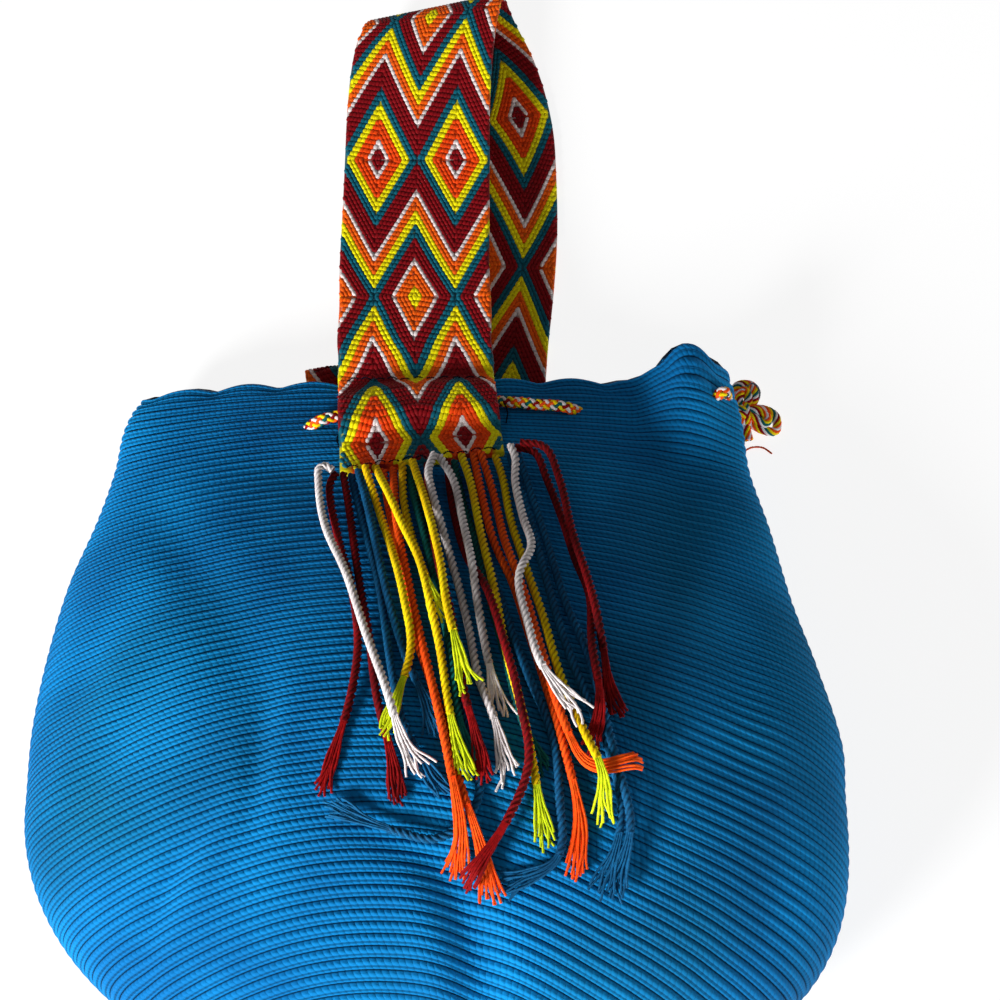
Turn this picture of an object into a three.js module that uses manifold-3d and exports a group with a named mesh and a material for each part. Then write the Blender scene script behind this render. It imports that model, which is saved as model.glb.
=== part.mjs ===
// A crocheted shoulder bag with a woven strap, lying on its back on a flat surface.
// Millimetres. +X to the right, +Y from the base towards the mouth, +Z up.
import * as THREE from 'three';
import { mergeVertices } from 'three/addons/utils/BufferGeometryUtils.js';
import Module from 'manifold-3d';

const wasm = await Module();
wasm.setup();

// ---- driving dimensions -------------------------------------------------------------
const wall = 3.5;               // thickness of the crocheted wall
const ridgeX = -16;             // the highest line of the belly lies left of the middle
const rimY = 304;               // base to mouth
const bellyZ = 112;             // height of the belly above the floor
const baseLength = 110;         // the rounded base takes this much of the length
const scallopHeight = 3;        // shell edging round the mouth
const scallopCount = 20;
const strapWidth = 68;
const strapThickness = 3;
const layerGap = 0.4;           // between cloth layers that lie on each other
const cordDiameter = 5.4;       // drawcord
const tailDiameter = 2.9;       // twisted fringe strands
const seamDiameter = 0.9;       // sewing thread
const seamStandOff = 1.1;

// half outline seen from above and height along the bag: [y, value]
const leftEdge = [[110, 160], [140, 161], [170, 159], [205, 154], [236, 146], [262, 141], [284, 139], [rimY, 132]];
const rightEdge = [[110, 160.5], [131, 161], [165, 154], [195, 146.5], [232, 140], [262, 133.5], [287, 131], [rimY, 126]];
const topLine = [[100, bellyZ], [130, 109], [165, 98], [200, 84], [235, 67], [265, 53], [290, 42], [rimY, 37]];
const sideLine = [[0, 44], [60, 42], [130, 40], [200, 34], [260, 27], [rimY, 23]];
const bottomLength = 60;        // the underside reaches the floor this far from the base
const floorPress = 0.8;         // and is pressed flat there
const shellTopLength = 100;     // and the top reaches the belly's height here

// ---- colours ------------------------------------------------------------------------
const bodyBlue = 0x0e6fa8;
const yarn = {
  white: 0xf4ece6, maroon: 0x7d0a18, blue: 0x0e4f80, teal: 0x0b5a5c,
  yellow: 0xf7e600, orange: 0xff4f0a, navy: 0x101a33,
};

// ---- small helpers ------------------------------------------------------------------
const clamp01 = (value) => Math.min(1, Math.max(0, value));

function ease(value) {
  const t = clamp01(value);
  return t * t * (3 - 2 * t);
}

// smooth curve through [y, value] rows
function along(rows, y) {
  const last = rows.length - 1;
  if (y <= rows[0][0]) return rows[0][1];
  if (y >= rows[last][0]) return rows[last][1];
  const i = rows.findIndex((row, k) => k > 0 && row[0] >= y) - 1;
  const slope = (k) => {
    const a = rows[Math.max(k - 1, 0)];
    const b = rows[Math.min(k + 1, last)];
    return (b[1] - a[1]) / (b[0] - a[0]);
  };
  const span = rows[i + 1][0] - rows[i][0];
  const t = (y - rows[i][0]) / span;
  const t2 = t * t;
  const t3 = t2 * t;
  return (2 * t3 - 3 * t2 + 1) * rows[i][1] + (t3 - 2 * t2 + t) * slope(i) * span
    + (3 * t2 - 2 * t3) * rows[i + 1][1] + (t3 - t2) * slope(i + 1) * span;
}

// rounded end of the given length: 0 at its tip, 1 where it meets the full section
function roundEnd(y, length, power) {
  if (y >= length) return 1;
  return (1 - (1 - Math.max(y, 0) / length) ** power) ** (1 / power);
}

function material(color, roughness) {
  return new THREE.MeshStandardMaterial({ color, roughness, metalness: 0 });
}

// closed mesh from a grid of rings; each end ring is closed by a ladder of faces or a single point
function ringSolid(rings) {
  const positions = [];
  const faces = [];
  const starts = rings.map((ring) => {
    const start = positions.length / 3;
    ring.forEach((p) => positions.push(p.x, p.y, p.z));
    return start;
  });
  for (let i = 0; i + 1 < rings.length; i += 1) {
    const a = starts[i];
    const b = starts[i + 1];
    const na = rings[i].length;
    const nb = rings[i + 1].length;
    const count = Math.max(na, nb);
    for (let j = 0; j < count; j += 1) {
      const k = (j + 1) % count;
      if (na === 1) faces.push(a, b + j, b + k);
      else if (nb === 1) faces.push(a + j, b, a + k);
      else faces.push(a + j, b + j, a + k, a + k, b + j, b + k);
    }
  }
  const cap = (start, count, flip) => {
    for (let j = 0; j + 1 < count / 2; j += 1) {
      const near = [start + j, start + j + 1];
      const far = [start + count - 1 - j, start + count - 2 - j];
      if (flip) faces.push(near[0], near[1], far[0], near[1], far[1], far[0]);
      else faces.push(near[0], far[0], near[1], near[1], far[0], far[1]);
    }
  };
  const lastRing = rings.length - 1;
  if (rings[0].length > 1) cap(starts[0], rings[0].length, true);
  if (rings[lastRing].length > 1) cap(starts[lastRing], rings[lastRing].length, false);
  const geometry = new THREE.BufferGeometry();
  geometry.setAttribute('position', new THREE.Float32BufferAttribute(positions, 3));
  geometry.setIndex(faces);
  geometry.computeVertexNormals();
  return geometry;
}

function toManifold(geometry) {
  const bare = geometry.clone();
  bare.deleteAttribute('normal');
  bare.deleteAttribute('uv');
  const merged = mergeVertices(bare, 1e-4);
  return new wasm.Manifold(new wasm.Mesh({
    numProp: 3,
    vertProperties: new Float32Array(merged.attributes.position.array),
    triVerts: new Uint32Array(merged.index.array),
  }));
}

function fromManifold(solid) {
  const mesh = solid.getMesh();
  const geometry = new THREE.BufferGeometry();
  geometry.setAttribute('position', new THREE.BufferAttribute(new Float32Array(mesh.vertProperties), 3));
  geometry.setIndex(new THREE.BufferAttribute(new Uint32Array(mesh.triVerts), 1));
  geometry.computeVertexNormals();
  return geometry;
}

// round tube of the given diameter through hand-placed points
function tube(points, diameter, sides, stepLength) {
  const path = new THREE.CatmullRomCurve3(points, false, 'centripetal');
  const shape = new THREE.Shape();
  for (let k = 0; k < sides; k += 1) {
    const angle = (2 * Math.PI * k) / sides;
    const x = (diameter / 2) * Math.cos(angle);
    const y = (diameter / 2) * Math.sin(angle);
    if (k === 0) shape.moveTo(x, y);
    else shape.lineTo(x, y);
  }
  shape.closePath();
  const steps = Math.max(3, Math.round(path.getLength() / stepLength));
  return new THREE.ExtrudeGeometry(shape, { steps, extrudePath: path, bevelEnabled: false });
}

// ---- bag body -----------------------------------------------------------------------
const leftPower = 1.9;          // the left flank slopes, the right one is fuller
const rightPower = 2.6;
const underPower = 3.5;

function halfWidth(y, side, inset) {
  const power = side < 0 ? 2 : 3;
  const rows = side < 0 ? leftEdge : rightEdge;
  const end = roundEnd(y - inset, baseLength - inset, power);
  return (along(rows, y) + side * -ridgeX - inset) * end;
}

const sideHeight = (y) => along(sideLine, y);

function topHeight(y, inset) {
  const rise = along(topLine, y) - inset - sideHeight(y);
  return sideHeight(y) + rise * roundEnd(y - inset, shellTopLength - inset, 2.4);
}

// the back wall rides over the strap layers that lie under the bag
const stackHeight = 3 * strapThickness + 4 * layerGap;
const stackStart = 92;
const stackFull = 130;

function underLift(x, y) {
  const acrossStack = 1 - ease((Math.abs(x + 6) - 52) / 34);
  return stackHeight * ease((y - stackStart) / (stackFull - stackStart)) * acrossStack;
}

function underHeight(x, y, inset) {
  const drop = (sideHeight(y) + floorPress - inset) * roundEnd(y - inset, bottomLength - inset, 2.6);
  const side = x < ridgeX ? -1 : 1;
  const ratio = clamp01(Math.abs(x - ridgeX) / halfWidth(y, side, inset));
  const round = sideHeight(y) - drop * (1 - ratio ** underPower) ** (1 / underPower);
  return Math.max(round, underLift(x, y) + inset);
}

// the right corner of the mouth stands up in a fold
function cornerFold(x, y) {
  return ease((x - 82) / 24) * (1 - 0.6 * ease((x - 108) / 22)) * ease((y - 255) / 45);
}
const cornerFoldHeight = 20;

function upperSkin(x, y, inset = 0) {
  const side = x < ridgeX ? -1 : 1;
  const power = side < 0 ? leftPower : rightPower;
  const ratio = Math.abs(x - ridgeX) / halfWidth(y, side, inset);
  if (ratio >= 1) return sideHeight(y) + cornerFold(x, y) * cornerFoldHeight;
  const rise = topHeight(y, inset) - sideHeight(y);
  return sideHeight(y) + rise * (1 - ratio ** power) ** (1 / power) + cornerFold(x, y) * cornerFoldHeight;
}

function bodyPoint(y, angle, inset) {
  const side = Math.cos(angle) < 0 ? -1 : 1;
  const upper = Math.sin(angle) >= 0;
  let power = underPower;
  if (upper) power = side < 0 ? leftPower : rightPower;
  const x = ridgeX + side * halfWidth(y, side, inset) * Math.abs(Math.cos(angle)) ** (2 / power);
  if (upper) return new THREE.Vector3(x, y, upperSkin(x, y, inset));
  return new THREE.Vector3(x, y, underHeight(x, y, inset) + cornerFold(x, y) * cornerFoldHeight);
}

function bodyRing(y, inset, segments) {
  const ring = [];
  for (let k = 0; k < segments; k += 1) {
    ring.push(bodyPoint(y, (2 * Math.PI * k) / segments, inset));
  }
  return ring;
}

function rimRing(inset, segments) {
  return bodyRing(rimY, inset, segments).map((p, k) => {
    const wave = Math.abs(Math.cos((Math.PI * k * scallopCount) / segments));
    const lean = 0.015 * p.x;
    p.y += scallopHeight * (wave - 1) + lean + 8 * cornerFold(p.x, rimY);
    return p;
  });
}

function bodyShell() {
  const segments = 64;
  const outerRows = [1.2, 5, 12, 22, 36, 54, 74, 98, 124, 150, 178, 206, 232, 254, 272, 288];
  const innerRows = outerRows.slice(1).map((y) => y + (y < 100 ? wall * 0.5 : 0)).reverse();
  const pole = (y) => [new THREE.Vector3(ridgeX, y, sideHeight(0))];
  return ringSolid([
    pole(0),
    ...outerRows.map((y) => bodyRing(y, 0, segments)),
    rimRing(0, segments),
    rimRing(wall, segments),
    ...innerRows.map((y) => bodyRing(y, wall, segments)),
    pole(wall),
  ]);
}

// ---- drawcord -----------------------------------------------------------------------
const cordRise = cordDiameter / 2 + 0.5;      // cord axis above the skin it lies on
const cordSink = wall + cordDiameter / 2 + 0.5;
const cordStep = 10;

// [x, y, where]: 'on' the front skin, 'in' behind it, 'back' inside on the back wall
const cordRoute = [
  [127, 303, 9], [126, 298, 18], [121, 291, 'on'], [114, 288.5, 'on'], [105, 288.5, 'in'], [86, 288.5, 'in'], [66, 285.5, 'in'],
  [53, 284.5, 'on'], [42, 285.5, 'on'], [27, 287, 'on'], [8, 287, 'on'], [-14, 285, 'on'], [-34, 281, 'on'],
  [-50, 276, 'on'], [-62, 274, 'in'], [-80, 276, 'in'], [-98, 279, 'in'], [-112, 281, 'in'],
  [-119, 282, 27], [-112, 281, 'back'], [-92, 280, 'back'], [-60, 280, 'back'], [-20, 280, 'back'],
  [20, 280, 'back'], [60, 281, 'back'], [90, 283, 'back'], [108, 286, 'back'], [119, 291, 20], [127, 296, 9],
];

function cordPoint([x, y, where]) {
  let z = where;
  if (where === 'on') z = upperSkin(x, y) + cordRise;
  if (where === 'in') z = upperSkin(x, y) - cordSink;
  if (where === 'back') z = underHeight(x, y, 0) + cordFoldAt(x, y) + cordSink;
  return new THREE.Vector3(x, y, z);
}

const cordFoldAt = (x, y) => cornerFold(x, y) * cornerFoldHeight;

function drawcord() {
  return tube(cordRoute.map(cordPoint), cordDiameter, 8, cordStep);
}

function bodyWithEyelets() {
  const cutter = tube(cordRoute.map(cordPoint), cordDiameter + 1.2, 8, cordStep);
  return fromManifold(toManifold(bodyShell()).subtract(toManifold(cutter)));
}

// the cord's ends are tied in a small bow that lies beside the corner
function bow() {
  const at = (x, y, z) => new THREE.Vector3(x, y, z);
  const knot = new THREE.SphereGeometry(1, 12, 8).scale(5.2, 5.6, 4.6).translate(134, 302, 5.2);
  const upperLoop = tube([
    at(134, 303, 5), at(131, 310, 5), at(134, 317, 5), at(140, 317, 5), at(141, 310, 5), at(136, 303, 5.4),
  ], 3.6, 8, 5);
  const sideLoop = tube([
    at(135, 302, 5), at(143, 305, 5), at(150, 302, 4), at(150, 295, 3), at(144, 295, 4), at(136, 300, 4.8),
  ], 3.6, 8, 5);
  const end = tube([at(134, 301, 4.6), at(132, 295, 3), at(134, 288, 2.4)], 3.6, 8, 5);
  const parts = [upperLoop, sideLoop, end].map(toManifold);
  return fromManifold(parts.reduce((sum, part) => sum.add(part), toManifold(knot)));
}

// ---- strap --------------------------------------------------------------------------
const sewnEndY = (x) => 250.5 + 0.19 * x;

// how far the strap's underside stands off the bag's skin, lifted where the drawcord passes
function strapSeat(x, y) {
  const cordY = 286 - 0.0035 * (x - 10) ** 2;
  const overCord = cordDiameter + 0.9;
  const hump = overCord * (1 - ease((Math.abs(y - cordY) - 6) / 11));
  return upperSkin(x, y) + 0.5 + hump;
}

const frontLayer = 1.6;         // axis heights of the layers that lie on the floor
const secondLayer = frontLayer + strapThickness + layerGap;
const thirdLayer = secondLayer + strapThickness + layerGap;

// centre line of the woven band: [x, y, z, turn of its width direction in degrees]
const strapLine = [
  ...sewnRows(),
  [-11, 312, 38, 0], [-12, 322, 36, 0], [-12, 340, 33, 0], [-13, 365, 29, 0], [-13, 395, 26, 0], [-13, 425, 24, 0],
  [-13, 455, 23, 1], [-12, 480, 22.5, 3], [-10, 500, 22, 7], [-7, 515, 20, 12], [-5, 522, 15.5, 15], [-4, 523, 11, 17],
  [-2, 520, 6, 20], [2, 511, 2.8, 23], [9, 495, frontLayer, 20], [14, 478, frontLayer, 13], [18, 455, frontLayer, 7],
  [19, 430, frontLayer, 2], [19, 400, frontLayer, -2], [17, 370, frontLayer, -3], [14, 340, frontLayer, -4],
  [12, 310, frontLayer, -4], [10, 280, frontLayer, -3], [8, 250, frontLayer, -3], [6, 220, frontLayer, -2],
  [5, 190, frontLayer, -1], [3, 165, frontLayer, 0], [2, 148, frontLayer, 1],
  ...hairpin(1.5, 140, frontLayer, secondLayer, -1, 4),
  [0, 150, secondLayer, 6], [-4, 175, secondLayer, 8], [-8, 200, secondLayer, 9], [-13, 230, secondLayer, 9],
  [-18, 260, secondLayer, 9], [-23, 290, secondLayer, 9], [-27, 315, secondLayer, 9],
  ...hairpin(-29, 326, secondLayer, thirdLayer, 1, 9),
  [-27, 316, thirdLayer, 8], [-24, 300, thirdLayer, 8], [-21, 282, thirdLayer, 8], [-18, 264, thirdLayer, 8],
];

// the stretch sewn to the front follows the bag's skin, so its height is left at 0
function sewnRows() {
  const rows = [];
  for (let y = 250; y <= rimY; y += 4) rows.push([-7 - (y - 260) / 11, y, 0, 0]);
  return rows;
}

// half turn between two layers at a fold
function hairpin(x, y, from, to, direction, turn) {
  const radius = (to - from) / 2;
  const steps = 6;
  const rows = [];
  for (let k = 0; k <= steps; k += 1) {
    const angle = (Math.PI * k) / steps;
    rows.push([x, y + direction * radius * Math.sin(angle), from + radius * (1 - Math.cos(angle)), turn]);
  }
  return rows;
}

function strap() {
  const across = 8;
  const slantedRows = 5;        // the sewn end is cut at a slant, which fades over the first rows
  const sewnCount = sewnRows().length;
  const centres = strapLine.map(([x, y, z]) => {
    const sewn = z === 0;
    return new THREE.Vector3(x, y, sewn ? strapSeat(x, y) + strapThickness / 2 : z);
  });
  const rings = strapLine.map(([, , z, turn], i) => {
    const before = centres[Math.max(i - 1, 0)];
    const after = centres[Math.min(i + 1, centres.length - 1)];
    const angle = THREE.MathUtils.degToRad(turn);
    const side = new THREE.Vector3(Math.cos(angle), Math.sin(angle), 0);
    const forward = after.clone().sub(before).normalize();
    const up = side.clone().cross(forward).normalize();
    const outer = [];
    const inner = [];
    for (let j = 0; j <= across; j += 1) {
      const offset = strapWidth * (j / across - 0.5);
      const p = centres[i].clone().addScaledVector(side, offset);
      if (z === 0) {
        if (i < slantedRows) p.y += (sewnEndY(p.x) - strapLine[0][1]) * (1 - i / slantedRows);
        p.z = strapSeat(p.x, p.y) + strapThickness / 2;
      } else if (i < sewnCount + 4) {
        const seat = strapSeat(p.x, Math.min(p.y, rimY)) + strapThickness / 2;
        p.z = THREE.MathUtils.lerp(seat, z, ease((p.y - rimY) / 30));
      }
      outer.push(p.clone().addScaledVector(up, strapThickness / 2));
      inner.push(p.clone().addScaledVector(up, -strapThickness / 2));
    }
    return [...inner, ...outer.reverse()];
  });
  return ringSolid(rings);
}

// ---- sewing thread ------------------------------------------------------------------
function seamOnFront(fromX, toX, seamY) {
  const points = [];
  const count = 12;
  for (let k = 0; k <= count; k += 1) {
    const x = THREE.MathUtils.lerp(fromX, toX, k / count);
    const y = seamY(x);
    points.push(new THREE.Vector3(x, y, strapSeat(x, y) + strapThickness + seamDiameter / 2 + seamStandOff));
  }
  return tube(points, seamDiameter, 8, 6);
}

// ---- fringe -------------------------------------------------------------------------
// Each strand leaves the strap's sewn end and lies over the bag and over the strands
// before it. The routes are [x, y] points from the strap down the bag.
const frontTails = [
  ['blue', [[-35, 249], [-32, 229], [-26, 205], [-20, 179], [-14, 142], [-9, 120], [1, 101], [7, 92]]],
  ['blue', [[-32, 248], [-27, 222], [-17, 176], [-9, 148], [-2, 131], [4, 115]]],
  ['maroon', [[-38, 245], [-35, 225], [-28, 183], [-23, 157], [-19, 131], [-13, 107], [-10, 88]]],
  ['maroon', [[-41, 245], [-43, 235], [-38, 207], [-31, 181], [-27, 153], [-29, 129], [-33, 113], [-38, 92]]],
  ['blue', [[-8, 244], [-2, 208], [4, 176], [10, 139], [15, 115], [18, 92], [5, 78], [-13, 81], [-36, 90]]],
  ['blue', [[12, 244], [19, 208], [26, 176], [35, 144], [45, 115], [47, 93], [46, 71], [26, 61]]],
  ['blue', [[30, 237], [40, 205], [45, 179], [51, 153], [59, 128], [66, 108], [69, 86], [61, 58]]],
  ['blue', [[33, 237], [44, 206], [51, 174], [59, 149], [64, 123], [68, 104], [72, 83], [65, 58]]],
  ['maroon', [[32, 260], [40, 252], [45, 238], [50, 220], [55, 197], [60, 178], [60, 154], [62, 128], [58, 108]]],
  ['maroon', [[34, 262], [44, 253], [50, 236], [54, 209], [60, 180], [64, 154], [67, 132], [72, 123]]],
  ['teal', [[-12, 245], [-8, 225], [-3, 202], [2, 178], [8, 147], [11, 122], [16, 103]]],
  ['teal', [[7, 248], [10, 231], [16, 205], [22, 176], [28, 148], [33, 125], [42, 102]]],
  ['maroon', [[-4, 244], [-2, 219], [2, 191], [8, 162], [12, 135], [17, 115], [21, 96]]],
  ['orange', [[-22, 245], [-18, 219], [-11, 189], [-7, 162], [0, 139], [6, 119], [12, 96], [19, 74], [24, 52]]],
  ['orange', [[-18, 244], [-15, 213], [-10, 186], [-4, 157], [2, 131], [8, 103], [12, 78], [9, 61]]],
  ['orange', [[15, 254], [18, 231], [23, 205], [31, 182], [37, 158], [43, 135], [49, 111], [54, 86], [52, 61]]],
  ['orange', [[18, 255], [23, 231], [28, 202], [35, 177], [41, 151], [48, 123], [58, 104], [78, 107]]],
  ['yellow', [[-29, 245], [-23, 222], [-16, 197], [-10, 171], [-7, 150], [-11, 131], [-16, 115]]],
  ['yellow', [[-14, 247], [-13, 228], [-9, 207], [-2, 181], [4, 162]]],
  ['yellow', [[-10, 246], [-3, 217], [3, 188], [6, 167], [10, 148], [14, 131]]],
  ['yellow', [[10, 252], [14, 234], [18, 208], [24, 176], [28, 150], [35, 119], [39, 96], [42, 75]]],
  ['yellow', [[24, 256], [27, 240], [30, 217], [36, 191], [42, 168], [48, 141], [56, 117], [62, 100], [63, 84]]],
  ['yellow', [[-25, 245], [-22, 235], [-13, 210], [-5, 189], [0, 167], [4, 148], [8, 122], [14, 99]]],
  ['maroon', [[4, 248], [7, 223], [13, 195], [21, 176], [27, 153], [33, 127], [36, 104], [27, 81], [12, 59]]],
  ['white', [[-42, 250], [-47, 243], [-47, 231], [-43, 211], [-33, 185], [-24, 157], [-16, 134], [-10, 115], [-3, 101]]],
  ['white', [[1, 248], [7, 235], [11, 213], [15, 189], [18, 167], [22, 144], [26, 123]]],
  ['white', [[-1, 248], [-3, 238], [-1, 225], [4, 205], [10, 181], [14, 162], [18, 139], [24, 121], [29, 100]]],
  ['white', [[30, 262], [32, 248], [32, 235], [35, 215], [38, 199], [33, 182], [36, 162], [42, 140], [55, 123]]],
];
const tailGap = 0.4;
const tailStep = 4;

function tailRoute(points, laid) {
  const flat = points.map(([x, y]) => new THREE.Vector3(x, y, 0));
  flat[0].y = sewnEndY(flat[0].x) - 2;
  const curve = new THREE.CatmullRomCurve3(flat, false, 'centripetal');
  const count = Math.round(curve.getLength() / tailStep);
  const route = curve.getSpacedPoints(count);
  const reach = tailDiameter + tailGap;
  const floorOf = route.map((p) => {
    let z = upperSkin(p.x, p.y) + tailDiameter / 2 + tailGap;
    laid.forEach((other) => {
      const distance = Math.hypot(other.x - p.x, other.y - p.y);
      if (distance < reach) z = Math.max(z, other.z + Math.sqrt(reach * reach - distance * distance));
    });
    return z;
  });
  route.forEach((p, k) => {
    p.z = Math.max(...floorOf.slice(Math.max(k - 1, 0), k + 2));
  });
  const lowest = route.map((p) => p.z);
  for (let pass = 0; pass < 12; pass += 1) {
    for (let k = 1; k + 1 < route.length; k += 1) {
      route[k].z = Math.max(lowest[k], (route[k - 1].z + route[k + 1].z) / 2);
    }
  }
  return route;
}

function addFrontTails(group) {
  const laid = [];
  const counts = {};
  frontTails.forEach(([colour, points]) => {
    counts[colour] = (counts[colour] || 0) + 1;
    const route = tailRoute(points, laid);
    const fine = new THREE.CatmullRomCurve3(route).getSpacedPoints(route.length * 4);
    laid.push(...fine);
    const mesh = new THREE.Mesh(tube(route, tailDiameter, 8, 3 * tailDiameter), material(yarn[colour], 0.85));
    mesh.name = `tail_${colour}_${counts[colour]}`;
    group.add(mesh);
  });
}

// the strands of the strap's back end lie flat between the strap and the back wall
function backFringe() {
  const strands = 10;
  const pitch = 6.2;
  const height = thirdLayer - 0.1;
  const at = (x, y) => new THREE.Vector3(x, y, height);
  const rows = [];
  for (let k = 0; k < strands; k += 1) {
    const offset = (k - (strands - 1) / 2) * pitch;
    const length = 78 + 9 * Math.sin(k * 2.1);
    rows.push(tube([
      at(-17 + offset, 256), at(-15 + offset, 236), at(-11 + offset * 0.95, 212), at(-7 + offset * 0.9, 256 - length),
    ], tailDiameter, 8, 16));
  }
  const band = new THREE.BoxGeometry(strands * pitch, 2.4, 1.4).translate(-17, 256, height);
  return fromManifold(rows.map(toManifold).reduce((sum, part) => sum.add(part), toManifold(band)));
}

// ---- assembly -----------------------------------------------------------------------
const model = new THREE.Group();

function addPiece(name, geometry, look) {
  const mesh = new THREE.Mesh(geometry, look);
  mesh.name = name;
  model.add(mesh);
}

addPiece('bag_body', bodyWithEyelets(), material(bodyBlue, 0.9));
addPiece('drawcord', drawcord(), material(yarn.orange, 0.8));
addPiece('drawcord_bow', bow(), material(yarn.yellow, 0.8));
addPiece('strap', strap(), material(yarn.orange, 0.85));
addPiece('seam_thread_upper', seamOnFront(-40, 20, () => 300), material(yarn.navy, 0.6));
addPiece('seam_thread_lower', seamOnFront(-37, 24, (x) => sewnEndY(x) + 3), material(yarn.navy, 0.6));
addPiece('back_fringe', backFringe(), material(yarn.teal, 0.85));
addFrontTails(model);

// origin under the middle of the whole object, on the floor
const box = new THREE.Box3().setFromObject(model);
const middle = box.getCenter(new THREE.Vector3());
model.position.set(-middle.x, -middle.y, -box.min.z);

export default model;
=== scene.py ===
# A crocheted shoulder bag lying on its back, with its woven strap, fringe and drawcord.
# Lengths in the helper functions are millimetres; meshes are made in metres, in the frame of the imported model.
import math
import random

import bmesh
import bpy
import numpy as np
from mathutils import Matrix, Vector


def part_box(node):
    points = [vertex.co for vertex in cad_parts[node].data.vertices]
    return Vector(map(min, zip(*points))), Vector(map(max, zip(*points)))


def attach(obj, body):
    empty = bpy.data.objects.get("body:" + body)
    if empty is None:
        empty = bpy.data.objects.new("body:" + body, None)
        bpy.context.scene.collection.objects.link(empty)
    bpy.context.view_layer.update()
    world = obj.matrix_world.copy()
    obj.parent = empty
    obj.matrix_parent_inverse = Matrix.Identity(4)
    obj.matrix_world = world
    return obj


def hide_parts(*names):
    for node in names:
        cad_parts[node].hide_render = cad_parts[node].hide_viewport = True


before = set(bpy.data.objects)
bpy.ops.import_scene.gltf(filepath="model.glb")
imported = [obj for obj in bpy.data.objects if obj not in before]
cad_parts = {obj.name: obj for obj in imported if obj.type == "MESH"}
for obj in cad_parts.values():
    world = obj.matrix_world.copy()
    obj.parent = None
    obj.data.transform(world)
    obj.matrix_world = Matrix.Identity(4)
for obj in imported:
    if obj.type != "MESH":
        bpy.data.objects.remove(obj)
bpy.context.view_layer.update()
scene = bpy.context.scene
print("frame loaded:", len(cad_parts), "nodes")

mm = 0.001
leftReach = 160.647                     # mm from x = 0 to the bag's left flank in the helper functions
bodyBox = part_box("bag_body")
origin = np.array([bodyBox[0][0] / mm + leftReach, bodyBox[0][1] / mm, 0.0])


def place(points):
    # millimetres from the middle of the base to metres in the frame
    return (np.asarray(points, dtype=float) + origin) * mm


view = {
    "aim": (25.8, 262.0, 0.0),          # mm, a point on the floor
    "distance": 865.0,                  # mm
    "elevation": 65.0,                  # degrees above the floor
    "lens": 70.0,                       # mm, on a sensor of the usual width
    "sensor": 36.0,
}


def makeCamera():
    data = bpy.data.cameras.new("camera")
    data.lens = view["lens"]
    data.sensor_width = view["sensor"]
    data.clip_start = 0.01
    camera = bpy.data.objects.new("camera", data)
    scene.collection.objects.link(camera)
    aim = Vector(place([view["aim"]])[0])
    tilt = math.radians(view["elevation"])
    camera.location = aim + Vector((0.0, -math.cos(tilt), math.sin(tilt))) * view["distance"] * mm
    camera.rotation_euler = (math.pi / 2 - tilt, 0.0, 0.0)
    scene.camera = camera


makeCamera()

bag = {
    "wall": 3.5,
    "ridgeX": -16.0,
    "rimY": 304.0,
    "baseLength": 110.0,                # how far the base's round end reaches, at the outline,
    "bottomLength": 60.0,               # on the underside
    "topLength": 100.0,                 # and on the belly
    "scallopHeight": 3.0,
    "scallopCount": 20,
    "leftPower": 1.9,                   # roundness of the section on each side of the ridge
    "rightPower": 2.6,
    "underPower": 3.5,
    "cornerHeight": 20.0,
    "cornerLean": 8.0,                  # how far the hump at the right corner lifts the mouth's edge
}
strapSize = {"width": 68.0, "thickness": 3.0, "gap": 0.4}
tailSize = {"diameter": 2.9, "gap": 0.4, "step": 4.0, "tuck": 2.0}
cordDiameter = 5.4

leftEdge = [(110, 160), (140, 161), (170, 159), (205, 154), (236, 146), (262, 141), (284, 139), (304, 132)]
rightEdge = [(110, 160.5), (131, 161), (165, 154), (195, 146.5), (232, 140), (262, 133.5), (287, 131), (304, 126)]
topLine = [(100, 112), (130, 109), (165, 98), (200, 84), (235, 67), (265, 53), (290, 42), (304, 37)]
sideLine = [(0, 44), (60, 42), (130, 40), (200, 34), (260, 27), (304, 23)]


def ease(value):
    t = np.clip(value, 0.0, 1.0)
    return t * t * (3 - 2 * t)


def along(rows, y):
    # smooth curve through (y, value) rows
    ys = np.array([row[0] for row in rows], float)
    values = np.array([row[1] for row in rows], float)
    y = np.clip(y, ys[0], ys[-1])
    i = np.clip(np.searchsorted(ys, y) - 1, 0, len(ys) - 2)
    before = np.clip(np.arange(len(ys)) - 1, 0, None)
    after = np.clip(np.arange(len(ys)) + 1, None, len(ys) - 1)
    slopes = (values[after] - values[before]) / (ys[after] - ys[before])
    span = ys[i + 1] - ys[i]
    t = (y - ys[i]) / span
    return ((2 * t**3 - 3 * t**2 + 1) * values[i] + (t**3 - 2 * t**2 + t) * slopes[i] * span
            + (3 * t**2 - 2 * t**3) * values[i + 1] + (t**3 - t**2) * slopes[i + 1] * span)


def roundEnd(y, length, power):
    # rounded end of that length: 0 at its tip, 1 where it meets the full section
    rest = 1 - np.clip(np.asarray(y, float) / length, 0.0, 1.0)
    return (1 - rest**power) ** (1 / power)


def halfWidth(y, left, inset):
    outline = np.where(left, along(leftEdge, y) + bag["ridgeX"], along(rightEdge, y) - bag["ridgeX"])
    end = np.where(left, roundEnd(y - inset, bag["baseLength"] - inset, 2.0),
                   roundEnd(y - inset, bag["baseLength"] - inset, 3.0))
    return (outline - inset) * end


# where the hump at the right corner rises and falls along x, and where it begins towards the mouth
corner = {
    "riseStart": 82.0,
    "riseLength": 24.0,
    "fallStart": 108.0,
    "fallLength": 22.0,
    "fallDepth": 0.6,
    "mouthStart": 255.0,
    "mouthLength": 45.0,
}


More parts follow.
